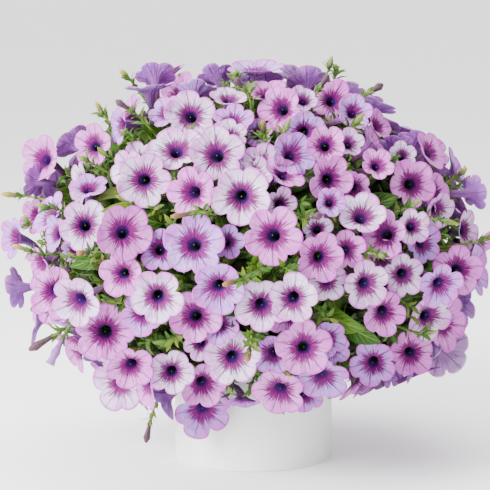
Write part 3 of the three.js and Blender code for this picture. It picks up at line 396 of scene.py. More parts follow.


# Each row is a bloom that the front view shows, read one by one. Tint (W white, P pink, L lilac, V
# back view), middle x and y and width in the view, the part of its facing that goes right and up, 1 if
# it faces the viewer or -1 if it turns its back, and its level (2 in front, 0 behind).
SEEN_BLOOMS = [
    ("V", 157, 76, 40, 0, 0.8, -1, 1), ("P", 173, 92, 55, -0.7, 0.45, 1, 1),
    ("P", 127, 112, 40, -0.7, 0.6, 1, 1), ("L", 119, 128, 38, -0.9, 0, 1, 1),
    ("V", 74, 143, 42, -0.6, 0.65, -1, 1), ("P", 93, 147, 44, -0.5, 0.1, 1, 1),
    ("P", 61, 172, 48, -0.6, 0.1, 1, 1), ("V", 36, 181, 30, -0.85, 0.2, -1, 1),
    ("W", 70, 180, 45, -0.9, 0, 1, 0), ("L", 90, 185, 40, -0.1, 0.8, 1, 1),
    ("W", 122, 165, 35, -0.6, 0, 1, 0), ("W", 135, 155, 34, -0.2, 0.3, 1, 0),
    ("W", 177, 149, 56, -0.1, 0.6, 1, 1), ("W", 148, 184, 55, 0, 0.05, 1, 1),
    ("W", 191, 117, 52, 0, 0.25, 1, 1), ("P", 191, 193, 52, -0.35, 0.1, 1, 1),
    ("W", 218, 160, 57, 0, 0.1, 1, 1), ("W", 242, 200, 60, 0, 0, 1, 2),
    ("P", 272, 237, 58, 0, 0, 1, 2), ("L", 196, 246, 61, 0, 0, 1, 2),
    ("L", 227, 240, 50, 0.2, 0, 1, 0), ("L", 219, 288, 55, -0.1, -0.35, 1, 1),
    ("W", 261, 306, 54, -0.1, -0.1, 1, 1), ("W", 289, 294, 50, 0.05, 0, 1, 1),
    ("P", 195, 317, 54, 0, -0.2, 1, 1), ("W", 233, 356, 56, 0, -0.1, 1, 1),
    ("P", 203, 383, 48, 0.05, -0.35, 1, 1), ("L", 203, 410, 57, 0.05, -0.45, 1, 1),
    ("W", 173, 368, 46, 0, -0.1, 1, 1), ("P", 141, 352, 46, 0.1, -0.45, 1, 1),
    ("P", 110, 328, 60, 0, -0.1, 1, 2), ("W", 164, 294, 55, -0.15, -0.05, 1, 1),
    ("P", 123, 274, 46, -0.3, -0.1, 1, 1), ("P", 134, 236, 58, 0.35, -0.1, 1, 1),
    ("W", 85, 226, 52, -0.2, 0, 1, 1), ("L", 120, 230, 45, 0, 0, 1, 0),
    ("L", 154, 248, 40, 0, 0, 1, 0), ("P", 56, 292, 54, -0.2, -0.1, 1, 1),
    ("W", 95, 296, 52, -0.2, -0.2, 1, 1), ("P", 52, 310, 40, -0.3, -0.6, 1, 1),
    ("L", 17, 288, 42, -0.95, -0.1, -1, 1), ("P", 30, 215, 28, -0.7, 0.1, 1, 1),
    ("L", 30, 240, 40, -0.8, 0, 1, 1), ("L", 55, 234, 35, -0.8, 0.1, 1, 1),
    ("P", 40, 265, 28, -0.8, -0.3, 1, 1), ("L", 62, 253, 26, -0.3, -0.5, 1, 0),
    ("W", 118, 382, 55, -0.5, -0.2, 1, 1), ("L", 137, 317, 45, -0.2, 0.1, 1, 0),
    ("V", 217, 77, 38, 0, 0.8, -1, 1), ("V", 268, 78, 35, 0.2, 0.9, -1, 1),
    ("P", 265, 92, 45, -0.1, 0.85, 1, 1), ("P", 279, 111, 48, -0.5, -0.15, 1, 1),
    ("W", 293, 108, 42, 0.1, 0.45, 1, 1), ("L", 298, 123, 36, 0, -0.2, 1, 0),
    ("V", 307, 85, 44, 0, 0.75, -1, 1), ("P", 332, 102, 44, 0, 0.1, 1, 1),
    ("W", 230, 100, 40, 0.1, 0.85, 1, 1), ("L", 232, 118, 36, -0.1, 0.6, 1, 0),
    ("L", 253, 116, 32, 0, 0.3, 1, 0), ("L", 195, 93, 36, 0, 0.8, -1, 1),
    ("L", 165, 112, 30, -0.5, 0.5, 1, 1), ("W", 232, 140, 42, 0.1, 0.2, 1, 0),
    ("W", 262, 162, 44, 0, 0.25, 1, 1), ("P", 285, 172, 44, 0.35, 0.7, 1, 1),
    ("L", 294, 157, 48, 0.45, 0.1, 1, 1), ("P", 322, 156, 40, 0.2, 0.1, 1, 1),
    ("W", 340, 152, 34, 0.2, 0.3, 1, 1), ("P", 331, 178, 50, 0.5, 0, 1, 1),
    ("P", 357, 185, 40, 0.1, -0.1, 1, 0), ("P", 371, 172, 30, 0.2, 0.4, 1, 0),
    ("P", 375, 145, 46, 0.8, 0.55, 1, 1), ("P", 379, 126, 34, 0.75, 0.45, 1, 1),
    ("V", 397, 142, 36, 0, 0.85, -1, 1), ("V", 412, 143, 28, 0.3, 0.8, -1, 1),
    ("P", 433, 154, 32, 0.6, 0.4, 1, 1), ("P", 422, 160, 42, 0.7, 0.4, 1, 1),
    ("W", 396, 160, 30, 0.3, 0.3, 1, 0), ("P", 411, 185, 50, 0.3, 0.05, 1, 1),
    ("P", 435, 194, 40, 0.7, 0.1, 1, 1), ("W", 438, 212, 38, 0.55, -0.3, 1, 1),
    ("W", 466, 230, 42, 0.85, 0, 1, 1), ("P", 482, 248, 24, 0.9, -0.2, 1, 1),
    ("V", 456, 200, 30, 0.8, 0.2, -1, 1), ("P", 450, 270, 52, 0.05, -0.05, 1, 2),
    ("W", 402, 275, 44, 0.15, -0.15, 1, 1), ("L", 422, 283, 46, 0.3, -0.35, 1, 1),
    ("W", 366, 285, 50, 0.25, -0.2, 1, 1), ("P", 384, 312, 46, 0.35, -0.1, 1, 1),
    ("P", 382, 235, 48, -0.4, 0, 1, 1), ("W", 358, 216, 50, 0.05, 0.6, 1, 1),
    ("P", 343, 250, 56, 0.1, 0, 1, 1), ("P", 319, 258, 50, 0.35, -0.1, 1, 2),
    ("W", 315, 235, 44, 0.1, 0, 1, 1), ("L", 318, 208, 38, 0.3, 0, 1, 0),
    ("W", 283, 203, 48, 0.35, 0.05, 1, 1), ("W", 403, 230, 52, 0.35, 0, 1, 1),
    ("W", 335, 277, 36, 0, 0, 1, 0), ("W", 387, 257, 36, 0.1, -0.3, 1, 0),
    ("P", 446, 322, 56, 0.75, -0.1, 1, 1), ("L", 372, 362, 46, 0, -0.15, 1, 1),
    ("P", 408, 350, 46, 0.1, -0.15, 1, 1), ("P", 303, 343, 56, 0.1, -0.1, 1, 2),
    ("L", 331, 342, 46, 0.4, -0.2, 1, 1), ("L", 323, 378, 52, 0.15, -0.65, 1, 1),
    ("P", 278, 386, 54, 0, -0.2, 1, 2), ("V", 242, 402, 32, 0, -0.95, 1, 1),
    ("L", 305, 398, 28, 0.2, -0.6, 1, 1), ("W", 205, 350, 36, 0, -0.3, 1, 0),
    ("L", 217, 328, 35, 0, 0, 1, 0), ("P", 290, 322, 34, 0, -0.3, 1, 0),
    ("L", 272, 362, 36, -0.2, -0.4, 1, 0), ("L", 333, 363, 30, 0.2, -0.5, 1, 0),
    ("W", 253, 170, 40, 0.1, 0.1, 1, 0), ("L", 432, 242, 34, 0.4, -0.1, 1, 0),
    ("L", 346, 131, 34, 0.3, 0.3, 1, 1),
]

# How the blooms are spread and fitted: their radii, spacings and gaps, and the moves tried, the least
# first, until each clears the others.
BLOOM_MOST = 32
BLOOM_LEAST = (23, 20, 20)
FACE_LEAN = 1.05
HIDDEN_SPOTS = 1400
HIDDEN_SPACING = 43
HIDDEN_EDGE = 0.3
HIDDEN_RADIUS = 27
HIDDEN_GROWTH = 5
HIDDEN_BEHIND = 0.2
HIDDEN_WANDER = 0.9
HIDDEN_SINK = 0.35
HIDDEN_TINTS = "WPLPWLPL"
SEEN_SPACING = 46
BLOOM_NODES = 48
SORTINGS = 8
THROAT_LOW = 7.5
NECK_RADIUS = 10
NECK_DROP = 9
HUB_BEHIND = 4
TAIL = 26
TAIL_RADIUS = 1.5
FUNNEL_BEND = 1.1
REST_LIFT = (-9, 3, 9)
LIFT_STEPS = (0, 3, -3, 6, -6, 9, 12, 15, 18, 21, 25)
SHIFTS = ((0, 1), (6, 6), (11, 6))
SHRINKS = (1, 0.9, 0.8, 0.7)
RING_SHARES = (1, 0.72, 0.45)
RING_TURNS = np.arange(18) * math.pi / 9
FUNNEL_SHARES = np.linspace(0, 1, 5)
BLOOM_GAP = 3
GROUP_GAP = 2
BLOOM_NEAR = 110
CORE_SLACK = 3


def seen_blooms():
    """The blooms that the front view shows, each at its place on the mound."""
    blooms = []
    for tint, px, py, width, right, up, side, level in SEEN_BLOOMS:
        spot = seen_point(px, py)
        away = 1 - (spot - EYE_AIM) @ VIEW_NEAR / EYE_DISTANCE
        radius = min(BLOOM_MOST, max(BLOOM_LEAST[level], width * PIXEL * away / 2))
        face = lean_limit(facing(right, up, side), mound_normal(spot), FACE_LEAN)
        blooms.append({"tint": tint, "spot": spot, "face": face, "radius": radius, "level": level})
    return blooms


def hidden_blooms(taken):
    """The blooms that fill the rest of the mound, wherever a spot of the spiral is still free."""
    draw = make_draw(48271)
    blooms = []
    places = [bloom["spot"] for bloom in taken]
    for spot in spiral_spots(HIDDEN_SPOTS):
        out = mound_normal(spot)
        spacing = SEEN_SPACING if out @ VIEW_NEAR > HIDDEN_EDGE else HIDDEN_SPACING
        if np.min(np.linalg.norm(np.array(places) - spot, axis=1)) > spacing:
            radius = HIDDEN_RADIUS + HIDDEN_GROWTH * draw()
            level = 0 if draw() < HIDDEN_BEHIND else 1
            tint = HIDDEN_TINTS[int(draw() * len(HIDDEN_TINTS))]
            face = unit(out + wander(draw, HIDDEN_SINK) * HIDDEN_WANDER)
            blooms.append({"tint": tint, "spot": spot, "face": face, "radius": radius, "level": level})
            places.append(spot)
    return blooms


def group_blooms(blooms):
    """Sorts blooms into groups of neighbours by where their funnels end, and gives each its hub."""
    tails = np.array([bloom["spot"] - TAIL * bloom["face"] for bloom in blooms])
    hubs = [tails[0]]
    while len(hubs) < BLOOM_NODES:
        distances = np.linalg.norm(tails[:, None] - np.array(hubs), axis=2)
        hubs.append(tails[int(np.argmax(distances.min(axis=1)))])
    for again in range(SORTINGS):
        distances = np.linalg.norm(tails[:, None] - np.array(hubs), axis=2)
        group = distances.argmin(axis=1)
        hubs = [tails[group == g].mean(axis=0) if (group == g).any() else hubs[g]
                for g in range(BLOOM_NODES)]
    for bloom, own in zip(blooms, group):
        bloom["group"] = int(own)
        bloom["hub"] = at_depth(hubs[own], HUB_DEPTH)
        bloom["face"] = lean_limit(bloom["face"], unit(bloom["spot"] - bloom["hub"]), FUNNEL_BEND)


def limb_height(r, radius):
    """How high a bloom's limb stands at a distance from its middle: it dips to its throat."""
    slope = -THROAT_LOW * (radius - r) / (radius - NECK_RADIUS)
    return np.where(r < NECK_RADIUS, -THROAT_LOW, slope)


def bloom_points(bloom):
    """Points spread over a bloom: three rings of its limb, then five down its funnel."""
    u, v = across_face(bloom["face"])
    rings = []
    for share in RING_SHARES:
        r = share * bloom["radius"]
        middle = bloom["centre"] + bloom["face"] * limb_height(np.array(r), bloom["radius"])
        rings.append(middle + r * (np.cos(RING_TURNS)[:, None] * u + np.sin(RING_TURNS)[:, None] * v))
    neck = bloom["centre"] - THROAT_LOW * bloom["face"]
    funnel = neck + FUNNEL_SHARES[:, None] * (bloom["hub"] - neck)
    return np.vstack(rings + [funnel])


def clear_of(bloom, points, margin, funnel_share):
    """Whether points keep to one side of a bloom's limb, and off its funnel for part of its length."""
    offset = points - bloom["centre"]
    h = offset @ bloom["face"]
    r = np.sqrt(np.maximum(0, (offset * offset).sum(axis=1) - h * h))
    near = r < bloom["radius"] + margin
    over = (h - limb_height(np.minimum(r, bloom["radius"]), bloom["radius"]))[near]
    if len(over) and (np.abs(over).min() < margin or over.min() < 0 < over.max()):
        return False
    neck = bloom["centre"] - THROAT_LOW * bloom["face"]
    funnel = bloom["hub"] - neck
    share = np.clip((points - neck) @ funnel / (funnel @ funnel), 0, funnel_share)
    gap = np.linalg.norm(points - neck - share[:, None] * funnel, axis=1)
    return bool((gap >= NECK_RADIUS + (TAIL_RADIUS - NECK_RADIUS) * share + margin).all())


def clear_of_pot_and_core(points, depth):
    by_pot = (points[:, 2] < POT_HEIGHT + POT_CLEAR) \
        & (np.hypot(points[:, 0], points[:, 1]) < POT_RADIUS + POT_CLEAR)
    return not by_pot.any() and bool((mound_level(points, depth) > 1).all())


def blooms_clear(a, b, crowded):
    """Whether two blooms clear each other, down to where their funnels join if they share a hub."""
    both = ((a, b), (b, a))
    if a["group"] != b["group"]:
        return all(clear_of(one, other["points"], BLOOM_GAP, 1) for one, other in both)
    return crowded or all(clear_of(one, other["points"][:-4], GROUP_GAP, 0.5) for one, other in both)


def try_bloom(bloom, settled, crowded):
    """Puts a bloom in place if it clears the core, the pot and the blooms placed before it."""
    bloom["points"] = bloom_points(bloom)
    near = [other for other in settled
            if np.linalg.norm(other["centre"] - bloom["centre"]) < BLOOM_NEAR]
    behind = (bloom["hub"] - bloom["centre"]) @ bloom["face"] < -NECK_DROP - HUB_BEHIND
    fits = behind and clear_of_pot_and_core(bloom["points"][:-2], CORE_DEPTH - CORE_SLACK) \
        and all(blooms_clear(other, bloom, crowded) for other in near)
    if fits:
        settled.append(bloom)
    return fits


def settle_bloom(bloom, settled, crowded):
    """Lifts, shrinks or shifts a bloom the least that lets it clear the others."""
    full = bloom["radius"]
    out = mound_normal(bloom["spot"])
    u, v = across_face(out)
    for shift, ways in SHIFTS:
        for scale in SHRINKS:
            for way in range(ways):
                turn = way * FULL_TURN / ways
                spot = bloom["spot"] + shift * (math.cos(turn) * u + math.sin(turn) * v)
                for step in LIFT_STEPS:
                    bloom["radius"] = full * scale
                    bloom["centre"] = spot + out * (REST_LIFT[bloom["level"]] + step)
                    if try_bloom(bloom, settled, crowded):
                        return True
    bloom["radius"] = full
    return False


def settle_blooms():
    """Every bloom of the plant in place, with the turn of its lobes."""
    seen = seen_blooms()
    blooms = seen + hidden_blooms(seen)
    group_blooms(blooms)
    settled = []
    for level in (2, 1, 0):
        for bloom in (one for one in blooms if one["level"] == level):
            settle_bloom(bloom, settled, False) or settle_bloom(bloom, settled, True)
    draw = make_draw(777)
    for bloom in settled:
        bloom["spin"] = draw() * FULL_TURN
    return settled


blooms = settle_blooms()

# The trumpet that stands at each of these places: its limb, its lobes, its tube and its anthers. Its
# five rings, rim first, are told apart by their reach while it is flat, and share runs from rim to
# throat in its markings.
BLOOM_STEPS = 30
LOBES = 5
PETAL_THICK = 0.45
RING_REACH = (1.0, 0.66, 0.25, 0.16, 0.09)
RING_SHARE = (1.0, 0.64, 0.3, 0.16, 0.0)
THROAT_OPEN = 0.195
THROAT_HEIGHT = -7.6
TUBE_THROAT = 8
TUBE_STRAIGHT = 0.4
TUBE_RINGS = (0.4, 1.0)
TUBE_RADII = (3.9, 2.4)
TUBE_SHARE = 0.62
CUP = 3
LOBE_REACH = 1.04
LOBE_FULL = 0.17
LOBE_LIFT = 5.5
LOBE_UNEVEN = 0.11
LOBE_POINT = 0.05
NOTCH = 0.27
RUFFLE = 2.2
FRILL = 1.0
CREASE = 2.0
MIDWAY_REACH = 0.65
MIDWAY_PINCH = 0.03
MIDWAY_DROP = 0.12
MIDWAY_CUP = 0.4
MIDWAY_LIFT = 0.3
BEHIND_FREE = 0.3
BEHIND_DROP = 1.6
PETAL_GAP = 1.6
PRESS_LIMIT = 16
TUBE_CLEAR = 9
ANTHER_SIZE = 0.8
ANTHER_DROP = 9.5
STREAK_TURN = 15
OWN_PATTERN = 60.0
OWN_STEP = 0.618
PETAL_TONE = 0.62
PETAL_VARY = 0.16
# V, the tint of blooms that turn their backs, is a darker purple: painted shade.
PETAL_TINTS = {
    "W": (238, 215, 255), "P": (235, 144, 230), "L": (200, 156, 250), "V": (180, 116, 222),
}


def trumpet_mesh():
    """One flat trumpet to be shaped again for every bloom, with its turn and share as its UV map."""
    bm = spin_outline([(reach, 0) for reach in RING_REACH], BLOOM_STEPS)
    uv = bm.loops.layers.uv.new("petal")
    for petal_face in bm.faces:
        if petal_face.normal.z < 0:
            petal_face.normal_flip()
        middle = petal_face.calc_center_median()
        for loop in petal_face.loops:
            turn = math.atan2(loop.vert.co.y, loop.vert.co.x) % FULL_TURN
            around = math.atan2(middle.y, middle.x) % FULL_TURN
            turn += FULL_TURN if turn < around - math.pi else 0
            turn -= FULL_TURN if turn > around + math.pi else 0
            ring = np.argmin(np.abs(np.array(RING_REACH) - loop.vert.co.xy.length))
            loop[uv].uv = (turn / FULL_TURN, RING_SHARE[ring])
    return make_mesh(bm, "trumpet")


def funnel_line(bloom):
    """The bend that a bloom's tube follows: its throat, how far it runs straight back, and its end."""
    throat = bloom["centre"] - bloom["face"] * TUBE_THROAT
    run = bloom["hub"] - throat
    corner = throat - bloom["face"] * TUBE_STRAIGHT * np.linalg.norm(run)
    return throat, corner, throat + run * TUBE_SHARE


def on_bend(line, share):
    """The point of a bend and its direction at a share of its length."""
    start, corner, end = line
    point = start * (1 - share) ** 2 + corner * 2 * share * (1 - share) + end * share ** 2
    return point, unit((corner - start) * (1 - share) + (end - corner) * share)


def trumpet_places(bloom, rings, turns, draw):
    """Where every vertex of the trumpet goes in a bloom, each lobe lifted and ruffled its own way."""
    u, v = across_face(bloom["face"])
    radius = bloom["radius"]
    free = BEHIND_FREE if bloom["level"] == 0 else 1
    cup = (draw() - 0.45) * CUP * free - BEHIND_DROP * (1 - free)
    lifts = [(draw() - 0.5) * LOBE_LIFT * free for lobe in range(LOBES)]
    reaches = [LOBE_REACH + (draw() - 0.5) * LOBE_UNEVEN for lobe in range(LOBES)]
    frills = [(draw() - 0.5) * 2 * FRILL * free for step in range(BLOOM_STEPS)]
    notches = [NOTCH * (0.6 + 0.8 * draw()) for lobe in range(LOBES)]
    line = funnel_line(bloom)
    places = []
    for ring, turn in zip(rings, turns):
        lobe = int(turn / FULL_TURN * LOBES + 0.5) % LOBES
        notch = int(turn / FULL_TURN * LOBES) % LOBES
        middle = 0.5 + 0.5 * math.cos(LOBES * turn)
        between = (1 - middle) ** 3
        frill = frills[int(turn / FULL_TURN * BLOOM_STEPS + 0.5) % BLOOM_STEPS]
        angle = turn + bloom["spin"]
        if ring == 0:
            reach = reaches[lobe] + LOBE_POINT * middle ** 6 - notches[notch] * between
            r = radius * (reach - 0.02 * (1 - middle))
            h = cup + lifts[lobe] * (1 - between) - RUFFLE * between + frill
            angle += LOBE_FULL * math.sin(LOBES * turn)
        elif ring == 1:
            r = radius * (MIDWAY_REACH - MIDWAY_PINCH * between)
            h = -MIDWAY_DROP * radius + MIDWAY_CUP * cup + MIDWAY_LIFT * lifts[lobe] \
                - CREASE * middle + MIDWAY_LIFT * frill
            angle += 0.4 * LOBE_FULL * math.sin(LOBES * turn)
        else:
            r, h = THROAT_OPEN * radius, THROAT_HEIGHT
        if ring < 3:
            place = bloom["centre"] + bloom["face"] * h
            place = place + r * (math.cos(angle) * u + math.sin(angle) * v)
        else:
            point, run = on_bend(line, TUBE_RINGS[ring - 3])
            across = unit(u - run * (u @ run))
            beside = np.cross(-run, across)
            around = math.cos(angle) * across + math.sin(angle) * beside
            place = point + TUBE_RADII[ring - 3] * around
        places.append(place)
    return press_apart(bloom, np.array(places), rings < 2)


def press_apart(bloom, places, petals):
    """Bends petals off a neighbour's limb and round its tube, where the two would cross."""
    for other in blooms:
        apart = np.linalg.norm(other["centre"] - bloom["centre"]) > other["radius"] + bloom["radius"]
        if other is bloom or apart:
            continue
        offset = places - other["centre"]
        h = offset @ other["face"]
        outward = offset - h[:, None] * other["face"]
        r = np.linalg.norm(outward, axis=1)
        within = petals & (r < other["radius"] + 1)
        if not within.any():
            continue
        over = h - limb_height(np.minimum(r, other["radius"]), other["radius"])
        side = 1 if np.median(over[within]) > 0 else -1
        lack = PETAL_GAP - side * over
        pressed = within & (lack > 0) & (lack < PRESS_LIMIT)
        places[pressed] += side * lack[pressed, None] * other["face"]
        by_tube = petals & (r < TUBE_CLEAR) & (h < 0) & (side < 0)
        places[by_tube] += outward[by_tube] * (TUBE_CLEAR / r[by_tube, None] - 1)
    return places


def marking_group():
    """A petal's markings: streaks that burst from the throat, thin veins, a darker rim and throat, and
    painted shade deep in the tube.
    """
    tree = bpy.data.node_groups.new("petal_markings", "ShaderNodeTree")
    for name, kind in (("Tint", "Color"), ("Rim", "Color"), ("Vein", "Color"), ("Throat", "Color"),
                       ("Own", "Float"), ("Streaks", "Float"), ("Throat reach", "Float")):
        tree.interface.new_socket(name, in_out="INPUT", socket_type="NodeSocket" + kind)
    tree.interface.new_socket("Color", in_out="OUTPUT", socket_type="NodeSocketColor")
    tree.interface.new_socket("Height", in_out="OUTPUT", socket_type="NodeSocketFloat")
    given = tree.nodes.new("NodeGroupInput").outputs
    spread = add_node(tree, "SeparateXYZ", [(0, add_node(tree, "UVMap", uv_map="petal").outputs[0])])
    turn, reach = spread.outputs[0], spread.outputs[1]
    place = own_place(tree)
    wobble = maths(tree, "SUBTRACT", noise(tree, place, 130, 3), 0.5)

    angle = maths(tree, "MULTIPLY", turn, FULL_TURN)
    own = maths(tree, "MULTIPLY", given["Own"], OWN_PATTERN)
    around = add_node(tree, "CombineXYZ", [
        (0, maths(tree, "MULTIPLY", maths(tree, "COSINE", angle), STREAK_TURN)),
        (1, maths(tree, "MULTIPLY", maths(tree, "SINE", angle), STREAK_TURN)),
        (2, maths(tree, "MULTIPLY_ADD", reach, 1.8, own)),
    ]).outputs[0]
    burst = noise(tree, around, 1.0, 3, 0.6)
    rarer = ramp(tree, reach, 0.2, 1.0, 0.25, 0.74)
    over = maths(tree, "SUBTRACT", burst, rarer)
    fading = ramp(tree, reach, 0.4, 0.95, 1.0, 0.5)
    streaks = maths(tree, "MULTIPLY", ramp(tree, over, 0.0, 0.05), fading)
    streaks = maths(tree, "MULTIPLY", streaks, given["Streaks"])

    bent = maths(tree, "MULTIPLY_ADD", wobble, 0.02, turn)
    ribs = None
    for count, width, strength in ((5.0, 0.03, 0.65), (20.0, 0.1, 0.34)):
        row = maths(tree, "FRACT", maths(tree, "MULTIPLY_ADD", bent, count, 0.5))
        aside = maths(tree, "ABSOLUTE", maths(tree, "SUBTRACT", row, 0.5))
        gap = maths(tree, "MULTIPLY", aside, reach)
        rib = ramp(tree, gap, 0.0, width, strength, 0.0)
        ribs = rib if ribs is None else maths(tree, "MAXIMUM", ribs, rib)
    crumple = maths(tree, "MULTIPLY", noise(tree, place, 95, 2), 3.0)
    height = maths(tree, "SUBTRACT", crumple, ribs)
    ribs = maths(tree, "MULTIPLY", ribs, ramp(tree, reach, 0.6, 1.0, 1.0, 0.55))

    patches = ramp(tree, noise(tree, place, 42, 2), 0.36, 0.64, 0.05, 0.6)
    flush = maths(tree, "MULTIPLY", patches, ramp(tree, reach, 0.35, 0.9))
    colour = blend_colours(tree, flush, given["Tint"], given["Rim"])
    edge = maths(tree, "MULTIPLY_ADD", wobble, 0.02, reach)
    colour = blend_colours(tree, ramp(tree, edge, 0.95, 1.0, 0.0, 0.75), colour, given["Rim"])
    glow = ramp(tree, maths(tree, "MULTIPLY_ADD", wobble, 0.16, reach), 0.3, 0.62, 0.7, 0.0)
    colour = blend_colours(tree, maths(tree, "MULTIPLY", glow, given["Streaks"]), colour, given["Rim"])
    colour = blend_colours(tree, ribs, colour, given["Vein"])
    colour = blend_colours(tree, streaks, colour, given["Vein"])
    ragged = maths(tree, "MULTIPLY_ADD", wobble, 0.05, reach)
    inward = maths(tree, "SUBTRACT", ragged, given["Throat reach"])
    throat = ramp(tree, inward, -0.03, 0.075, 1.0, 0.0)
    colour = blend_colours(tree, throat, colour, given["Throat"])
    # Painted shade: near-black deep in the tube, where light hardly reaches.
    painted_tube_shade = ramp(tree, inward, -0.13, -0.015, 1.0, 0.0)
    colour = blend_colours(tree, painted_tube_shade, colour, shade(16, 6, 28))
    sent = tree.nodes.new("NodeGroupOutput").inputs
    tree.links.new(colour, sent["Color"])
    tree.links.new(height, sent["Height"])
    return tree


MARKINGS = marking_group()


def own_tint(tree):
    """The tint that each copy carries, with the copy's own number as its alpha."""
    return add_node(tree, "Attribute", attribute_name="tint")


def petal_material(name, painted_back_shade, rim, vein, throat, streaks, throat_reach):
    """Thin matt petal with the tint and pattern of its own bloom, its back darkened by a share of
    painted shade.
    """
    material, tree, shader = start_material(name, {
        "Roughness": 0.66, "Sheen Weight": 0.05, "Sheen Roughness": 0.45, "Specular IOR Level": 0.14,
        "Subsurface Weight": 0.12, "Subsurface Radius": (0.004, 0.002, 0.004), "Subsurface Scale": 1.0,
    })
    bloom = own_tint(tree)
    marks = tree.nodes.new("ShaderNodeGroup")
    marks.node_tree = MARKINGS
    # Painted shade: the share given darkens the tint towards deep purple.
    tint = blend_colours(tree, painted_back_shade, bloom.outputs["Color"], shade(96, 50, 122))
    tree.links.new(tint, marks.inputs["Tint"])
    tree.links.new(bloom.outputs["Alpha"], marks.inputs["Own"])
    for socket, value in (("Rim", rim), ("Vein", vein), ("Throat", throat),
                          ("Streaks", streaks), ("Throat reach", throat_reach)):
        marks.inputs[socket].default_value = value
    tree.links.new(marks.outputs["Color"], shader.inputs["Base Color"])
    bump(tree, shader, marks.outputs["Height"], 0.0013, 0.9)
    return material


PETAL_FRONT = petal_material(
    "petal_front", painted_back_shade=0.0, rim=shade(184, 64, 180), vein=shade(96, 0, 82),
    throat=shade(48, 12, 84), streaks=0.95, throat_reach=0.3)
# The backs: their tint darkened and their tube dark mauve, both painted shade.
PETAL_BACK = petal_material(
    "petal_back", painted_back_shade=0.5, rim=shade(170, 112, 186), vein=shade(82, 30, 92),
    throat=shade(82, 56, 70), streaks=0.5, throat_reach=0.12)


def anther_material():
    """Two-coloured dust of pollen."""
    material, tree, shader = start_material("anther", {"Roughness": 0.7})
    place = own_place(tree)
    dusty = noise(tree, place, 900, 2)
    colour = blend_colours(tree, dusty, shade(40, 44, 90), shade(110, 96, 70))
    tree.links.new(colour, shader.inputs["Base Color"])
    return material


def linear(colour):
    """A tint off a screen as three linear numbers."""
    return np.array(shade(*colour)[:3])


def shaped_copies(base, places, tints):
    """A bmesh with a copy of a base mesh for each array of places in millimetres, each with its tint.

    The tint's fourth value is a number of the copy's own, for what differs from one to the next.
    """
    bm = bmesh.new()
    for copy in places:
        bm.from_mesh(base)
    layer = bm.verts.layers.float_color.new("tint")
    tints = [np.broadcast_to(tint, (len(copy), 3)) for copy, tint in zip(places, tints)]
    owns = [(number * OWN_STEP) % 1 for number in range(len(places))]
    owns = np.repeat(owns, [len(copy) for copy in places])
    for vert, place, tint, own in zip(bm.verts, np.vstack(places) * MM, np.vstack(tints), owns):
        vert.co = place
        vert[layer] = (*tint, own)
    return bm


def thicken(piece, thickness, levels):
    """Gives a piece of thin blades their thickness, with their second material on the back."""
    wall = piece.modifiers.new("thickness", "SOLIDIFY")
    wall.thickness = thickness * MM
    wall.offset = -1
    wall.material_offset = 1
    if levels:
        smooth = piece.modifiers.new("smooth", "SUBSURF")
        smooth.levels = smooth.render_levels = levels


trumpet = trumpet_mesh()
reaches = np.array([v.co.xy.length for v in trumpet.vertices])
trumpet_rings = np.abs(reaches[:, None] - np.array(RING_REACH)).argmin(axis=1)
trumpet_turns = [math.atan2(v.co.y, v.co.x) % FULL_TURN for v in trumpet.vertices]
groups = sorted({bloom["group"] for bloom in blooms})
BLOOM_NAMES = [f"blooms_{number + 1:02d}" for number in range(len(groups))]
draw = make_draw(5150)
for name, group in zip(BLOOM_NAMES, groups):
    own = [bloom for bloom in blooms if bloom["group"] == group]
    places = [trumpet_places(bloom, trumpet_rings, trumpet_turns, draw) for bloom in own]
    tints = [linear(PETAL_TINTS[bloom["tint"]]) * (PETAL_TONE + PETAL_VARY * draw()) for bloom in own]
    piece = finish_piece(shaped_copies(trumpet, places, tints), name.replace("blooms", "trumpets"),
                         [PETAL_FRONT, PETAL_BACK], [name])
    thicken(piece, PETAL_THICK, 1)
bpy.data.meshes.remove(trumpet)

anthers = bmesh.new()
for bloom in blooms:
    made = bmesh.ops.create_icosphere(anthers, subdivisions=1, radius=ANTHER_SIZE * MM)
    place = bloom["centre"] - bloom["face"] * ANTHER_DROP
    bmesh.ops.translate(anthers, verts=made["verts"], vec=place * MM)
finish_piece(anthers, "anthers", [anther_material()], BLOOM_NAMES)


# ---------------------------------------------------------------------------------------------------
# The leaves: soft, downy oval blades with a sunken midrib and a tip that curls away, bright where they
# reach the light and painted darker greens as shade deep between the blooms. They grow from the tangle
# of stems inside the mound.

# A leaf's size is half its length and its width. Its form is in shares of its own length and width.
LEAF_THICK = 0.4
LEAF_ARCH = 0.1
OVAL_FULL = 0.75
LEAF_NECK = 0.09
DISH = 0.16
RIB_SINK = 0.07
EDGE_WAVE = 0.05
TIP_CURL = 0.1
TIP_BEND = 0.12
LEAF_SPOTS = 128
LEAF_SPACING = 30
LEAF_SIZE = (15, 25)
LEAF_DEPTHS = (0, 10, 20)
LEAF_GAP = 1.6
LEAF_NEAR = 120
LEAF_BLUNT = 0.85
LEAF_SINK = 0.7
LEAF_TONE = 0.33
LEAF_VARY = 0.34
WAYS = 6
TEST_SHARES = (0.15, 0.3, 0.45, 0.6, 0.75, 0.9, 1)
TEST_ACROSS = (-1, -0.5, 0, 0.5, 1)
ROOT = 5
DEEP_SPOTS = 1500
DEEP_DEPTHS = (20, 34)
DEEP_SIZE = (13, 17)
DEEP_WAYS = 3
DEEP_GAP = 0.2
DEEP_SINK = 0.4
LEAF_GREENS = ((90, 140, 22), (64, 114, 16), (52, 98, 18), (126, 146, 30))
# Darker greens for the leaves deep inside the mound: painted shade.
DEEP_GREENS_PAINTED_SHADE = ((62, 108, 18), (46, 84, 16), (34, 64, 14), (82, 124, 24))

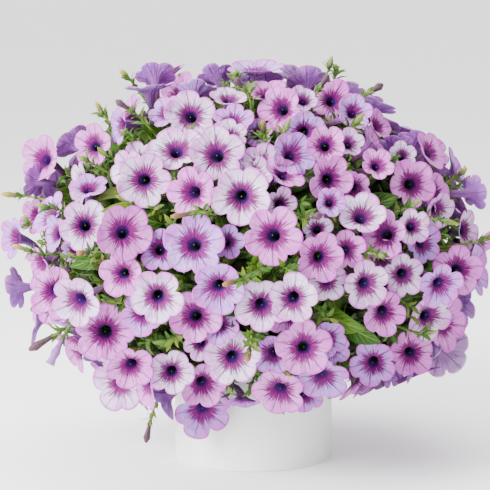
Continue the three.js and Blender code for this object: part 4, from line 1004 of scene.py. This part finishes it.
# Large leaves seen from the front: middle x and y in the view, and the tip's way, right and up.
SEEN_LEAVES = [
    (112, 207, -0.9, -0.2), (97, 188, -0.7, 0.3), (122, 180, 0.3, 0.7), (77, 262, -0.8, -0.4),
    (70, 268, -0.6, -0.7), (258, 268, 0.5, -0.8), (268, 280, -0.5, -0.7), (250, 285, 0.8, -0.1),
    (330, 293, 0.3, 0.8), (345, 310, -0.6, -0.6), (352, 328, 0.8, -0.4), (342, 338, -0.8, 0.3),
    (388, 200, 0.7, 0.4), (258, 342, 0.6, 0.6), (268, 354, -0.7, -0.4), (282, 350, 0.7, -0.5),
    (425, 262, 0.8, 0.2), (150, 386, -0.4, -0.8), (88, 265, -0.9, 0.2), (372, 340, 0.7, -0.6),
]

# Withered brown leaves seen from the front, in the same way.
SEEN_WITHERED = [
    (88, 266, -0.8, -0.3), (170, 325, 0.5, -0.6), (235, 325, -0.3, -0.8), (262, 143, 0.3, 0.7),
]
WITHERED_DEPTH = 8
WITHERED_SIZE = (9, 14)
WITHERED_BROWNS = ((132, 88, 54), (112, 76, 48))


def leaf_way(right, up):
    """The way that a seen leaf's tip points, in the view and a little into the plant."""
    return unit(facing(right, up, 1) - VIEW_NEAR)


def leaf_frame(leaf):
    """A leaf's rib from root to tip, the way across it and the way up from its face."""
    rib = leaf["tip"] - leaf["root"]
    side = unit(np.cross(rib, leaf["up"]))
    return rib, side, unit(np.cross(side, rib))


def leaf_points(leaf):
    """Points spread over a leaf, to test that it is clear of the blooms."""
    rib, side, up = leaf_frame(leaf)
    share = np.repeat(TEST_SHARES, len(TEST_ACROSS))
    across = np.tile(TEST_ACROSS, len(TEST_SHARES))
    half = leaf["width"] * 0.5 * np.minimum(1, np.minimum(share * 3, (1 - share) * 3))
    arch = LEAF_ARCH * np.linalg.norm(rib) * share * (1 - share) * 4
    return leaf["root"] + share[:, None] * rib + (across * half)[:, None] * side + arch[:, None] * up


def leaf_at(spot, sideways, tip_depth, reach, width):
    """A leaf that rises from the tangle near a spot of the mound to a tip near its surface."""
    root = at_depth(spot - sideways * reach, CORE_DEPTH + ROOT)
    tip = at_depth(spot + sideways * reach, tip_depth)
    return {"root": root, "tip": tip, "up": mound_normal(spot), "width": width}


def fits_blooms(points, margin):
    """Whether points stand clear of every bloom, and of the pot and the middle of the tangle."""
    near = [bloom for bloom in blooms if np.linalg.norm(bloom["centre"] - points[0]) <= LEAF_NEAR]
    return clear_of_pot_and_core(points, 2 * CORE_DEPTH) \
        and all(clear_of(bloom, points, margin, 1) for bloom in near)


def turned_about(level, out, way):
    """A direction turned about another that is square to it, by a number of sixths of a turn."""
    turn = way * FULL_TURN / WAYS
    return level * math.cos(turn) + np.cross(out, level) * math.sin(turn)


def make_leaves():
    """Leaves at the seen places, then on a spiral of spots, each turned until it clears the blooms."""
    draw = make_draw(9001)
    spots = [(seen_point(px, py), leaf_way(right, up)) for px, py, right, up in SEEN_LEAVES]
    for spot in spiral_spots(LEAF_SPOTS):
        spots.append((spot, unit(wander(draw, LEAF_SINK))))
    leaves = []
    for spot, sideways in spots:
        out = mound_normal(spot)
        level = unit(sideways - out * (sideways @ out))
        size = 0.85 + 0.3 * draw()
        for depth, way in [(depth, way) for depth in LEAF_DEPTHS for way in range(WAYS)]:
            sideways = turned_about(level, out, way)
            leaf = leaf_at(spot, sideways, depth, LEAF_SIZE[0] * size, LEAF_SIZE[1] * size)
            leaf["middle"] = (leaf["root"] + leaf["tip"]) / 2
            apart = all(np.linalg.norm(other["middle"] - leaf["middle"]) > LEAF_SPACING
                        for other in leaves)
            if apart and fits_blooms(leaf_points(leaf), LEAF_GAP):
                leaves.append(leaf)
                break
    return leaves


def make_deep_leaves():
    """Smaller leaves close over the tangle, wherever one fits behind the blooms."""
    draw = make_draw(3307)
    leaves = []
    for spot in spiral_spots(DEEP_SPOTS):
        out = mound_normal(spot)
        sideways = wander(draw, DEEP_SINK)
        level = unit(sideways - out * (sideways @ out))
        size = 0.8 + 0.5 * draw()
        depth = DEEP_DEPTHS[0] + (DEEP_DEPTHS[1] - DEEP_DEPTHS[0]) * draw()
        for way in range(DEEP_WAYS):
            sideways = turned_about(level, out, way)
            leaf = leaf_at(spot, sideways, depth, DEEP_SIZE[0] * size, DEEP_SIZE[1] * size)
            if fits_blooms(leaf_points(leaf)[5:], DEEP_GAP):
                leaves.append(leaf)
                break
    return leaves


def blade_mesh(across, lengthways):
    """A flat blade to be shaped again for each leaf: x from -1 to 1 across it, y from 0 to 1 along."""
    bm = bmesh.new()
    bmesh.ops.create_grid(bm, x_segments=across, y_segments=lengthways, size=1)
    halved = Matrix.Translation((0, 0.5, 0)) @ Matrix.Diagonal((1, 0.5, 1, 1))
    bmesh.ops.transform(bm, matrix=halved, verts=bm.verts)
    uv = bm.loops.layers.uv.new("blade")
    for face in bm.faces:
        if face.normal.z < 0:
            face.normal_flip()
        for loop in face.loops:
            loop[uv].uv = (loop.vert.co.x / 2 + 0.5, loop.vert.co.y)
    return make_mesh(bm, "blade")


def blade_places(leaf, flat, blunt, draw):
    """Where every vertex of the blade goes in one leaf: dished, waved at its edges, its tip curled."""
    rib, side, up = leaf_frame(leaf)
    length, width = np.linalg.norm(rib), leaf["width"]
    across, share = flat[:, 0], flat[:, 1]
    oval = np.sin(np.pi * np.minimum(share, 1) ** blunt) ** OVAL_FULL
    half = width * 0.5 * np.maximum(oval, LEAF_NECK * (1.2 - share))
    rise = width * (DISH * np.abs(across) ** 1.5 - RIB_SINK) * np.sin(np.pi * share)
    wave = width * EDGE_WAVE * np.abs(across) * np.sin(3 * np.pi * share + draw() * FULL_TURN + across)
    arch = LEAF_ARCH * length * share * (1 - share) * 4 - length * TIP_CURL * draw() * share ** 3
    bend = length * TIP_BEND * (draw() - 0.5) * share ** 2
    places = leaf["root"] + share[:, None] * rib + (across * half + bend)[:, None] * side
    return places + (rise + wave + arch)[:, None] * up


def leaf_material(name, lighter, vein_strength):
    """Downy green blade: a pale midrib with side veins, fine mottling, and the tint of each leaf."""
    material, tree, shader = start_material(name, {
        "Roughness": 0.58, "Sheen Weight": 0.06, "Sheen Roughness": 0.4, "Specular IOR Level": 0.25,
        "Subsurface Weight": 0.1, "Subsurface Radius": (0.002, 0.004, 0.001), "Subsurface Scale": 1.0,
    })
    spread = add_node(tree, "SeparateXYZ", [(0, add_node(tree, "UVMap", uv_map="blade").outputs[0])])
    across = maths(tree, "ABSOLUTE", maths(tree, "MULTIPLY_ADD", spread.outputs[0], 2.0, -1.0))
    along = spread.outputs[1]
    place = own_place(tree)
    grain = noise(tree, place, 260, 3)
    tint = own_tint(tree).outputs["Color"]
    mottled = blend_colours(tree, ramp(tree, grain, 0.3, 0.7, 0.0, 0.35), tint, shade(46, 74, 26))
    pale = blend_colours(tree, lighter, mottled, shade(140, 168, 88))
    slant = maths(tree, "MULTIPLY", across, -2.2)
    rows = maths(tree, "FRACT", maths(tree, "MULTIPLY_ADD", along, 7.0, slant))
    aside = maths(tree, "ABSOLUTE", maths(tree, "SUBTRACT", rows, 0.5))
    side_vein = ramp(tree, aside, 0.03, 0.16, 1.0, 0.0)
    side_vein = maths(tree, "MULTIPLY", side_vein, ramp(tree, across, 0.55, 1.0, 0.6, 0.0))
    midrib = ramp(tree, across, 0.03, 0.13, 1.0, 0.0)
    veins = maths(tree, "MAXIMUM", midrib, side_vein)
    strength = maths(tree, "MULTIPLY", veins, vein_strength)
    colour = blend_colours(tree, strength, pale, shade(140, 168, 74))
    tree.links.new(colour, shader.inputs["Base Color"])
    height = maths(tree, "SUBTRACT", maths(tree, "MULTIPLY", grain, 0.5), veins)
    bump(tree, shader, height, 0.0006, 0.8)
    return material


LEAF_FACE = leaf_material("leaf_face", lighter=0.0, vein_strength=0.4)
LEAF_UNDER = leaf_material("leaf_underside", lighter=0.35, vein_strength=0.5)


def flat_places(base):
    """The vertices of a base mesh before it is shaped."""
    return np.array([vert.co[:] for vert in base.vertices])


def grow_blades(name, leaves, base, blunt, greens, seed, levels):
    """One piece with every leaf of a kind."""
    flat = flat_places(base)
    draw = make_draw(seed)
    places = [blade_places(leaf, flat, blunt, draw) for leaf in leaves]
    tints = [linear(greens[int(draw() * len(greens))]) * (LEAF_TONE + LEAF_VARY * draw())
             for leaf in leaves]
    bm = shaped_copies(base, places, tints)
    piece = finish_piece(bm, name, [LEAF_FACE, LEAF_UNDER], ["foliage"])
    thicken(piece, LEAF_THICK, levels)


blade = blade_mesh(4, 6)
short_blade = blade_mesh(2, 4)
withered = []
for px, py, right, up in SEEN_WITHERED:
    withered.append(leaf_at(seen_point(px, py), leaf_way(right, up), WITHERED_DEPTH, *WITHERED_SIZE))
deep_leaves = make_deep_leaves()
grow_blades("leaves", make_leaves(), blade, LEAF_BLUNT, LEAF_GREENS, seed=911, levels=1)
grow_blades("leaves_within", deep_leaves, short_blade, LEAF_BLUNT, DEEP_GREENS_PAINTED_SHADE, seed=912, levels=0)
grow_blades("withered_leaves", withered, blade, LEAF_BLUNT, WITHERED_BROWNS, seed=913, levels=1)


# ---------------------------------------------------------------------------------------------------
# The stems: round, green and sticky with down. Each bloom hangs on a thin stalk from the tangle and is
# gripped by a calyx of five narrow sepals.
STALK_RADIUS = 1.0
STALK_KNEE = 6
STALK_BOW = 3
CUP_RADII = [2.2, 2.4]
SEPALS = 5
SEPAL_SIZE = (12, 2.8)
SEPAL_FOOT = 1.3
SEPAL_SPLAY = 0.45
SEPAL_BLUNT = 0.8
STEM_GREENS = ((88, 122, 28), (74, 106, 26), (108, 130, 40))


def rod_mesh(rings, sides):
    """A closed round rod to be shaped again: x and y turn about it, z counts its rings."""
    bm = spin_outline([(0, 0)] + [(1, k) for k in range(rings)] + [(0, rings - 1)], sides)
    bmesh.ops.recalc_face_normals(bm, faces=bm.faces)
    return make_mesh(bm, "rod")


def rod_places(points, radii, flat):
    """Where every vertex of the rod goes along a line of points, each with its radius."""
    u = across_face(unit(points[1] - points[0]))[0]
    frames = []
    for k, point in enumerate(points):
        ahead = points[min(k + 1, len(points) - 1)]
        run = unit(ahead - points[max(k - 1, 0)])
        u = unit(u - run * (u @ run))
        frames.append((point, radii[k] * u, radii[k] * np.cross(run, u)))
    middles, us, vs = (np.array(part) for part in zip(*frames))
    ring = np.rint(flat[:, 2]).astype(int)
    return middles[ring] + flat[:, :1] * us[ring] + flat[:, 1:2] * vs[ring]


def stem_material():
    """Green stem flushed with brown, pale down standing out at its edges."""
    material, tree, shader = start_material("stem_green", {
        "Roughness": 0.55, "Sheen Weight": 0.12, "Sheen Roughness": 0.35, "Specular IOR Level": 0.3,
    })
    place = own_place(tree)
    tint = own_tint(tree).outputs["Color"]
    flush = ramp(tree, noise(tree, place, 60, 2), 0.5, 0.75, 0.0, 0.35)
    colour = blend_colours(tree, flush, tint, shade(112, 84, 60))
    down = ramp(tree, noise(tree, place, 1100, 2), 0.55, 0.7, 0.0, 0.25)
    colour = blend_colours(tree, down, colour, shade(196, 204, 160))
    tree.links.new(colour, shader.inputs["Base Color"])
    bump(tree, shader, noise(tree, place, 700, 2), 0.0004, 0.8)
    return material


STEM = stem_material()


def sepals_round(foot, run, size, splay, draw):
    """The leaves of a calyx: five narrow sepals that stand round a foot, leaning out by a splay."""
    u, v = across_face(run)
    start = draw() * FULL_TURN
    sepals = []
    for k in range(SEPALS):
        turn = start + k * FULL_TURN / SEPALS
        out = math.cos(turn) * u + math.sin(turn) * v
        length = size[0] * (0.85 + 0.3 * draw())
        root = foot + out * SEPAL_FOOT
        tip = root + unit(run + out * splay) * length
        width = size[1] * (0.9 + 0.3 * draw())
        sepals.append({"root": root, "tip": tip, "up": -out, "width": width})
    return sepals


def grow_rods(name, lines, rings, sides, colours, seed):
    """One piece with every rod of a kind: each line is its points and their radii."""
    base = rod_mesh(rings, sides)
    flat = flat_places(base)
    draw = make_draw(seed)
    places = [rod_places(points, radii, flat) for points, radii in lines]
    tints = [linear(colours[int(draw() * len(colours))]) for line in lines]
    bm = shaped_copies(base, places, tints)
    finish_piece(bm, name, [STEM], ["foliage"])
    bpy.data.meshes.remove(base)


draw = make_draw(640)
stalks, sepals = [], []
for bloom in blooms:
    line = funnel_line(bloom)
    end, run = on_bend(line, 1.0)
    root = at_depth(bloom["hub"], CORE_DEPTH + 2 * ROOT)
    knee = end + run * STALK_KNEE
    points = [end - run * 2, end + run, knee, (knee + root) / 2 + run * STALK_BOW, root]
    stalks.append((points, CUP_RADII + [STALK_RADIUS, STALK_RADIUS, STALK_RADIUS * 1.3]))
    sepals += sepals_round(end, -run, SEPAL_SIZE, SEPAL_SPLAY, draw)
grow_rods("stalks", stalks, rings=5, sides=6, colours=STEM_GREENS, seed=641)
grow_blades("calyxes", sepals, short_blade, SEPAL_BLUNT, LEAF_GREENS, seed=642, levels=0)


# ---------------------------------------------------------------------------------------------------
# The shoots: young stems that reach out between the blooms from the tangle, with small leaves up them
# and a furled bud in a calyx of its own at the tip.

# Each row is a shoot seen from the front: its bud (G green, Y yellow-green, U purple and furled,
# P pale, T withered, L a wilted bloom), then its foot and its tip in the view.
SEEN_SHOOTS = [
    ("Y", 131, 95, 118, 84), ("U", 150, 121, 127, 109), ("Y", 116, 128, 107, 113),
    ("Y", 60, 157, 45, 149), ("Y", 40, 197, 13, 197), ("G", 62, 216, 46, 213),
    ("G", 40, 228, 34, 220), ("Y", 48, 255, 25, 246), ("G", 33, 290, 22, 295),
    ("G", 95, 172, 83, 167), ("Y", 168, 165, 145, 163), ("G", 132, 150, 126, 146),
    ("T", 210, 211, 176, 219), ("T", 108, 253, 91, 255), ("T", 245, 262, 218, 270),
    ("G", 285, 262, 297, 271), ("U", 290, 219, 312, 220), ("G", 290, 158, 298, 139),
    ("G", 243, 93, 240, 83), ("G", 237, 92, 233, 84), ("Y", 251, 86, 250, 71),
    ("U", 247, 105, 230, 90), ("T", 265, 145, 262, 131), ("G", 331, 85, 331, 75),
    ("U", 311, 105, 325, 87), ("U", 357, 105, 380, 95), ("G", 343, 133, 355, 120),
    ("P", 360, 175, 348, 157), ("G", 384, 170, 383, 161), ("Y", 448, 184, 456, 174),
    ("Y", 452, 189, 459, 184), ("G", 393, 228, 409, 219), ("G", 423, 229, 447, 237),
    ("Y", 465, 245, 488, 233), ("G", 420, 328, 438, 322), ("G", 366, 254, 373, 258),
    ("T", 252, 335, 247, 352), ("U", 156, 400, 149, 430), ("U", 85, 327, 47, 348),
    ("L", 84, 322, 66, 362),
]
SHOOT_SPOTS = 26
SHOOT_LIFT = 7
SHOOT_LIFTS = (SHOOT_LIFT, 15, 23)
SHOOT_SHIFTS = (0, 6, 12, 18)
SHOOT_GAP = 3
SHOOT_SINK = 0.2
SHOOT_BOW = 0.25
SHOOT_STEM = 1.5
SHOOT_RINGS = 7
HIDDEN_BUDS = "GYUYG"
LEAVES_PER_SHOOT = 14
LEAVES_LATE = 0.6
SMALL_LEAF = 8
SMALL_GROWTH = 11
SMALL_WIDTH = 0.34
SMALL_GAP = 0.8
SMALL_BLUNT = 0.9
TUFT_SPOTS = 620
TUFT_LEAVES = 11
TUFT_SPREAD = 26
TUFT_DEPTH = 12
TUFT_BOW = 4
TUFT_GAP = 2
BUD_START = 0.35
BUD_RINGS = 6
BUD_SIDES = 8
BUD_HOOK = 4
BUD_TESTS = (0, 0.3, 0.6, 0.8, 1)
BUD_SEPAL = (9, 2.6)
BUD_SPLAY = 0.3

# Each kind of bud: its radii from foot to tip, how late its colour turns, and its tints at both ends.
BUDS = {
    "G": ([1.0, 2.4, 3.0, 2.6, 1.6, 0.6], 1.2, (60, 82, 24), (116, 136, 34)),
    "Y": ([1.0, 2.1, 2.5, 3.0, 2.4, 0.9], 2.0, (60, 58, 22), (168, 152, 16)),
    "U": ([0.9, 2.2, 2.6, 3.4, 4.4, 1.4], 1.5, (38, 26, 20), (70, 22, 56)),
    "P": ([0.9, 1.9, 2.2, 3.4, 4.4, 1.8], 1.5, (90, 64, 50), (170, 100, 166)),
    "T": ([1.1, 2.6, 2.8, 2.7, 3.3, 1.5], 3.0, (42, 32, 18), (140, 92, 22)),
    "L": ([1.0, 2.2, 3.2, 5.2, 4.0, 5.6], 0.8, (96, 60, 104), (150, 96, 176)),
}


def shoot_points(root, foot, tip):
    """Points along a shoot, to test that it is clear of the blooms."""
    low = [root + (foot - root) * share for share in TEST_SHARES[:-1]]
    return np.array(low + [foot + (tip - foot) * share for share in BUD_TESTS])


def make_shoots():
    """Shoots at the seen places and on a spiral of spots, each moved until it clears the blooms."""
    draw = make_draw(6113)
    places = []
    for kind, foot_x, foot_y, tip_x, tip_y in SEEN_SHOOTS:
        run = VIEW_RIGHT * (tip_x - foot_x) * PIXEL + VIEW_UP * (foot_y - tip_y) * PIXEL
        places.append((kind, seen_point(foot_x, foot_y), run))
    for number, foot in enumerate(spiral_spots(SHOOT_SPOTS)):
        run = unit(wander(draw, SHOOT_SINK)) * (16 + 8 * draw())
        if mound_normal(foot) @ VIEW_NEAR < HIDDEN_EDGE:
            places.append((HIDDEN_BUDS[number % len(HIDDEN_BUDS)], foot, run))
    shoots = []
    for kind, foot, run in places:
        out = mound_normal(foot)
        u, v = across_face(out)
        tries = [(lift, shift, way * FULL_TURN / WAYS)
                 for lift in SHOOT_LIFTS for shift in SHOOT_SHIFTS for way in range(WAYS)]
        for lift, shift, turn in tries:
            base = foot + shift * (math.cos(turn) * u + math.sin(turn) * v) + out * lift
            root, tip = at_depth(base, CORE_DEPTH + ROOT), base + run + out * SHOOT_LIFT
            if fits_blooms(shoot_points(root, base, tip), SHOOT_GAP):
                shoots.append((kind, root, base, tip))
                break
    return shoots


def bud_material():
    """A bud's furled tube: its foot's tint runs into its tip's, with dark streaks over both."""
    material, tree, shader = start_material("bud", {"Roughness": 0.6, "Sheen Weight": 0.1})
    place = own_place(tree)
    tint = own_tint(tree).outputs["Color"]
    streaks = ramp(tree, noise(tree, place, 480, 2), 0.45, 0.7, 0.0, 0.45)
    colour = blend_colours(tree, streaks, tint, shade(74, 52, 48))
    tree.links.new(colour, shader.inputs["Base Color"])
    bump(tree, shader, noise(tree, place, 620, 2), 0.0005, 0.8)
    return material


def bend_line(points, count):
    """Evenly shared points along a bend from a root to a tip, pulled out to a foot between them."""
    shares = np.linspace(0, 1, count)[:, None]
    root, foot, tip = points
    corner = foot + (foot - (root + tip) / 2) * SHOOT_BOW
    return list(root * (1 - shares) ** 2 + corner * 2 * shares * (1 - shares) + tip * shares ** 2)


def leaves_along(points, count, draw):
    """Small narrow leaves that spiral up a shoot, most of them near its end, where there is room."""
    along = unit(points[-1] - points[0])
    u, v = across_face(along)
    grown = []
    for k in range(count):
        share = ((k + draw()) / count) ** LEAVES_LATE * (len(points) - 1.001)
        joint = points[int(share)] + (points[int(share) + 1] - points[int(share)]) * (share % 1)
        turn = k * GOLDEN_ANGLE + draw()
        away = math.cos(turn) * u + math.sin(turn) * v
        length = SMALL_LEAF + SMALL_GROWTH * draw()
        tip = joint + unit(along * (0.5 + 0.5 * draw()) + away) * length
        up = unit(along - away * 0.5)
        leaf = {"root": joint, "tip": tip, "up": up, "width": length * SMALL_WIDTH}
        if fits_blooms(leaf_points(leaf), SMALL_GAP):
            grown.append(leaf)
    return grown


shoots = make_shoots()
draw = make_draw(1212)
shoot_stems, shoot_leaves, tuft_leaves, bud_sepals = [], [], [], []
bud_base = rod_mesh(BUD_RINGS, BUD_SIDES)
bud_flat = flat_places(bud_base)
bud_shares = [k / (BUD_RINGS - 1) for k in range(BUD_RINGS)]
bud_places, bud_tints = [], []
for kind, root, foot, tip in shoots:
    shape, lateness, foot_tint, tip_tint = BUDS[kind]
    neck = foot + (tip - foot) * BUD_START
    points = bend_line((root, foot, neck), SHOOT_RINGS)
    shoot_stems.append((points, [SHOOT_STEM * (1.2 - 0.5 * k / 6) for k in range(SHOOT_RINGS)]))
    run = unit(tip - neck)
    size = 0.9 + 0.3 * draw()
    radii = [radius * size for radius in shape]
    hook = across_face(run)[0] * (draw() - 0.5) * BUD_HOOK
    spine = [neck + (tip - neck) * share + hook * share ** 2 for share in bud_shares]
    bud_places.append(rod_places(spine, radii, bud_flat))
    share = (np.rint(bud_flat[:, 2]) / (BUD_RINGS - 1))[:, None]
    low, high = linear(foot_tint), linear(tip_tint)
    bud_tints.append(low + (high - low) * share ** lateness)
    bud_sepals += sepals_round(neck, run, (BUD_SEPAL[0] * size, BUD_SEPAL[1]), BUD_SPLAY, draw)
    shoot_leaves += leaves_along(points, LEAVES_PER_SHOOT, draw)
for spot in spiral_spots(TUFT_SPOTS):
    out = mound_normal(spot)
    u, v = across_face(out)
    aside = (draw() - 0.5) * TUFT_SPREAD * u + (draw() - 0.5) * TUFT_SPREAD * v
    foot = at_depth(spot + aside, TUFT_DEPTH * draw())
    root = at_depth(spot, CORE_DEPTH + ROOT)
    points = bend_line((root, (root + foot) / 2 + out * TUFT_BOW, foot), SHOOT_RINGS)
    if fits_blooms(np.array(points[1:]), TUFT_GAP):
        shoot_stems.append((points, [SHOOT_STEM * (1.1 - 0.12 * k) for k in range(SHOOT_RINGS)]))
        tuft_leaves += leaves_along(points, TUFT_LEAVES, draw)
grow_rods("shoot_stems", shoot_stems, SHOOT_RINGS, sides=6, colours=STEM_GREENS, seed=650)
grow_blades("shoot_leaves", shoot_leaves, short_blade, SMALL_BLUNT, LEAF_GREENS, seed=651, levels=1)
grow_blades("tuft_leaves", tuft_leaves, short_blade, SMALL_BLUNT, LEAF_GREENS, seed=653, levels=0)
grow_blades("bud_calyxes", bud_sepals, short_blade, SEPAL_BLUNT, LEAF_GREENS, seed=652, levels=0)
buds = shaped_copies(bud_base, bud_places, bud_tints)
finish_piece(buds, "buds", [bud_material()], ["foliage"])
for base in (bud_base, short_blade, blade):
    bpy.data.meshes.remove(base)


# ---------------------------------------------------------------------------------------------------
# The tangle: the mass of old stems and leaves inside the mound, too dense to see into and dark with
# painted shade, on three crown stems that come up from the compost.
CROWNS = 3
CROWN_RING = 38
CROWN_DEPTH = 30
CROWN_TOP = 190
CROWN_RADII = [5, 5.4, 6, 5.2, 4.6]
TANGLE_STEPS = 96
TANGLE_ROWS = 48
TANGLE_ROUGH = 7
HOLLOW_RADIUS = POT_RADIUS + 4
HOLLOW_TOP = POT_HEIGHT + 3
HOLLOW_SIDE = 6
HOLLOW_RISE = 20


def tangle_material():
    """Leaves and stems deep between others, dark with painted shade: dark green blots, brown streaks
    and near-black in between.
    """
    material, tree, shader = start_material("tangle", {"Roughness": 0.8, "Specular IOR Level": 0.2})
    place = own_place(tree)
    cells = add_node(tree, "TexVoronoi", [("Vector", place), ("Scale", 110.0)])
    # Painted shade: near-black between the cells.
    painted_gap_shade = ramp(tree, cells.outputs[0], 0.2, 0.65)
    colour = blend_colours(tree, painted_gap_shade, shade(52, 74, 32), shade(16, 22, 12))
    streaks = ramp(tree, noise(tree, place, 90, 3), 0.55, 0.7, 0.0, 0.6)
    colour = blend_colours(tree, streaks, colour, shade(62, 52, 34))
    tree.links.new(colour, shader.inputs["Base Color"])
    bump(tree, shader, cells.outputs[0], 0.004)
    return material


side, top, low = MOUND_RADIUS - CORE_DEPTH, MOUND_UP - CORE_DEPTH, MOUND_DOWN - CORE_DEPTH
outline = [(0, HOLLOW_TOP), (HOLLOW_RADIUS, HOLLOW_TOP)]
start = -math.acos(HOLLOW_RADIUS / side)
for k in range(TANGLE_ROWS + 1):
    turn = start + (math.pi / 2 - start) * k / TANGLE_ROWS
    outline.append((side * math.cos(turn), MOUND_Z + (top if turn > 0 else low) * math.sin(turn)))
outline[-1] = (0, MOUND_Z + top)
tangle = spin_closed(outline, TANGLE_STEPS)
draw = make_draw(88)
tangle.normal_update()
for vert in tangle.verts:
    outside = vert.co.xy.length > (HOLLOW_RADIUS + HOLLOW_SIDE) * MM
    if outside or vert.co.z > (HOLLOW_TOP + HOLLOW_RISE) * MM:
        vert.co += vert.normal * (draw() - 0.75) * TANGLE_ROUGH * MM
finish_piece(tangle, "tangle", [tangle_material()], ["foliage"])

crowns = []
for k in range(CROWNS):
    turn = k * FULL_TURN / CROWNS + math.pi / 2
    foot = [CROWN_RING * math.cos(turn), CROWN_RING * math.sin(turn), SOIL_TOP - CROWN_DEPTH]
    rises = (0, 28, 36, 46, CROWN_TOP - SOIL_TOP + CROWN_DEPTH)
    crowns.append(([np.array(foot) + [0, 0, rise] for rise in rises], CROWN_RADII))
grow_rods("crown_stems", crowns, rings=5, sides=12, colours=[(118, 112, 70)], seed=3)


# ---------------------------------------------------------------------------------------------------
# The studio: a plain pale floor that lightens the shade under the plant, a large soft light from the
# left, a faint one from the right, a soft one from above and a sky that is brighter on the left.
CAMERA_LENS = 166.1
CAMERA_SENSOR = 36
FLOOR_RADIUS = 30
FLOOR_DROP = 0.0005
FLOOR_GLOW = 0.3
SKY_LEFT = 2.9
SKY_RIGHT = 0.4


def floor_material():
    """Matt and almost white, with a weak glow of its own."""
    constants = {"Roughness": 0.9, "Specular IOR Level": 0.1, "Emission Color": (1, 1, 1, 1),
                 "Emission Strength": FLOOR_GLOW}
    material, tree, shader = start_material("pale_floor", constants)
    place = own_place(tree)
    colour = blend_colours(tree, noise(tree, place, 4, 2), shade(246, 246, 246), shade(250, 250, 250))
    tree.links.new(colour, shader.inputs["Base Color"])
    return material


def soft_light(name, place, aim, size, power):
    """A square soft light that looks at a point, in metres and watts."""
    lamp = bpy.data.lights.new(name, "AREA")
    lamp.size = size
    lamp.energy = power
    light = make_object(name, lamp)
    light.location = place
    light.rotation_euler = (Vector(aim) - Vector(place)).to_track_quat("-Z", "Y").to_euler()


floor = bmesh.new()
bmesh.ops.create_circle(floor, cap_ends=True, segments=64, radius=FLOOR_RADIUS)
bmesh.ops.translate(floor, verts=floor.verts, vec=(0, 0, -FLOOR_DROP))
floor = make_object("floor", make_mesh(floor, "floor"))
floor.data.materials.append(floor_material())

middle = (0, 0, MOUND_Z * MM)
soft_light("key_light", (-1.7, -1.5, 1.5), middle, size=1.1, power=190)
soft_light("fill_light", (1.9, -1.4, 0.8), middle, size=1.2, power=4)
soft_light("top_light", (0.2, 0.4, 2.4), middle, size=1.6, power=60)

world = bpy.data.worlds.new("studio")
world.use_nodes = True
sky = world.node_tree
outlook = add_node(sky, "TexCoord").outputs["Generated"]
to_right = add_node(sky, "SeparateXYZ", [(0, outlook)]).outputs[0]
backdrop = sky.nodes["Background"].inputs
backdrop["Color"].default_value = (1, 1, 1, 1)
sky.links.new(ramp(sky, to_right, -0.8, 0.9, SKY_LEFT, SKY_RIGHT), backdrop["Strength"])
bpy.context.scene.world = world

camera = bpy.data.cameras.new("camera")
camera.lens = CAMERA_LENS
camera.sensor_width = CAMERA_SENSOR
camera.clip_end = 2 * FLOOR_RADIUS
viewer = make_object("camera", camera)
viewer.location = (EYE_AIM + VIEW_NEAR * EYE_DISTANCE) * MM
viewer.rotation_euler = (math.pi / 2 - EYE_TILT, 0, 0)
bpy.context.scene.camera = viewer
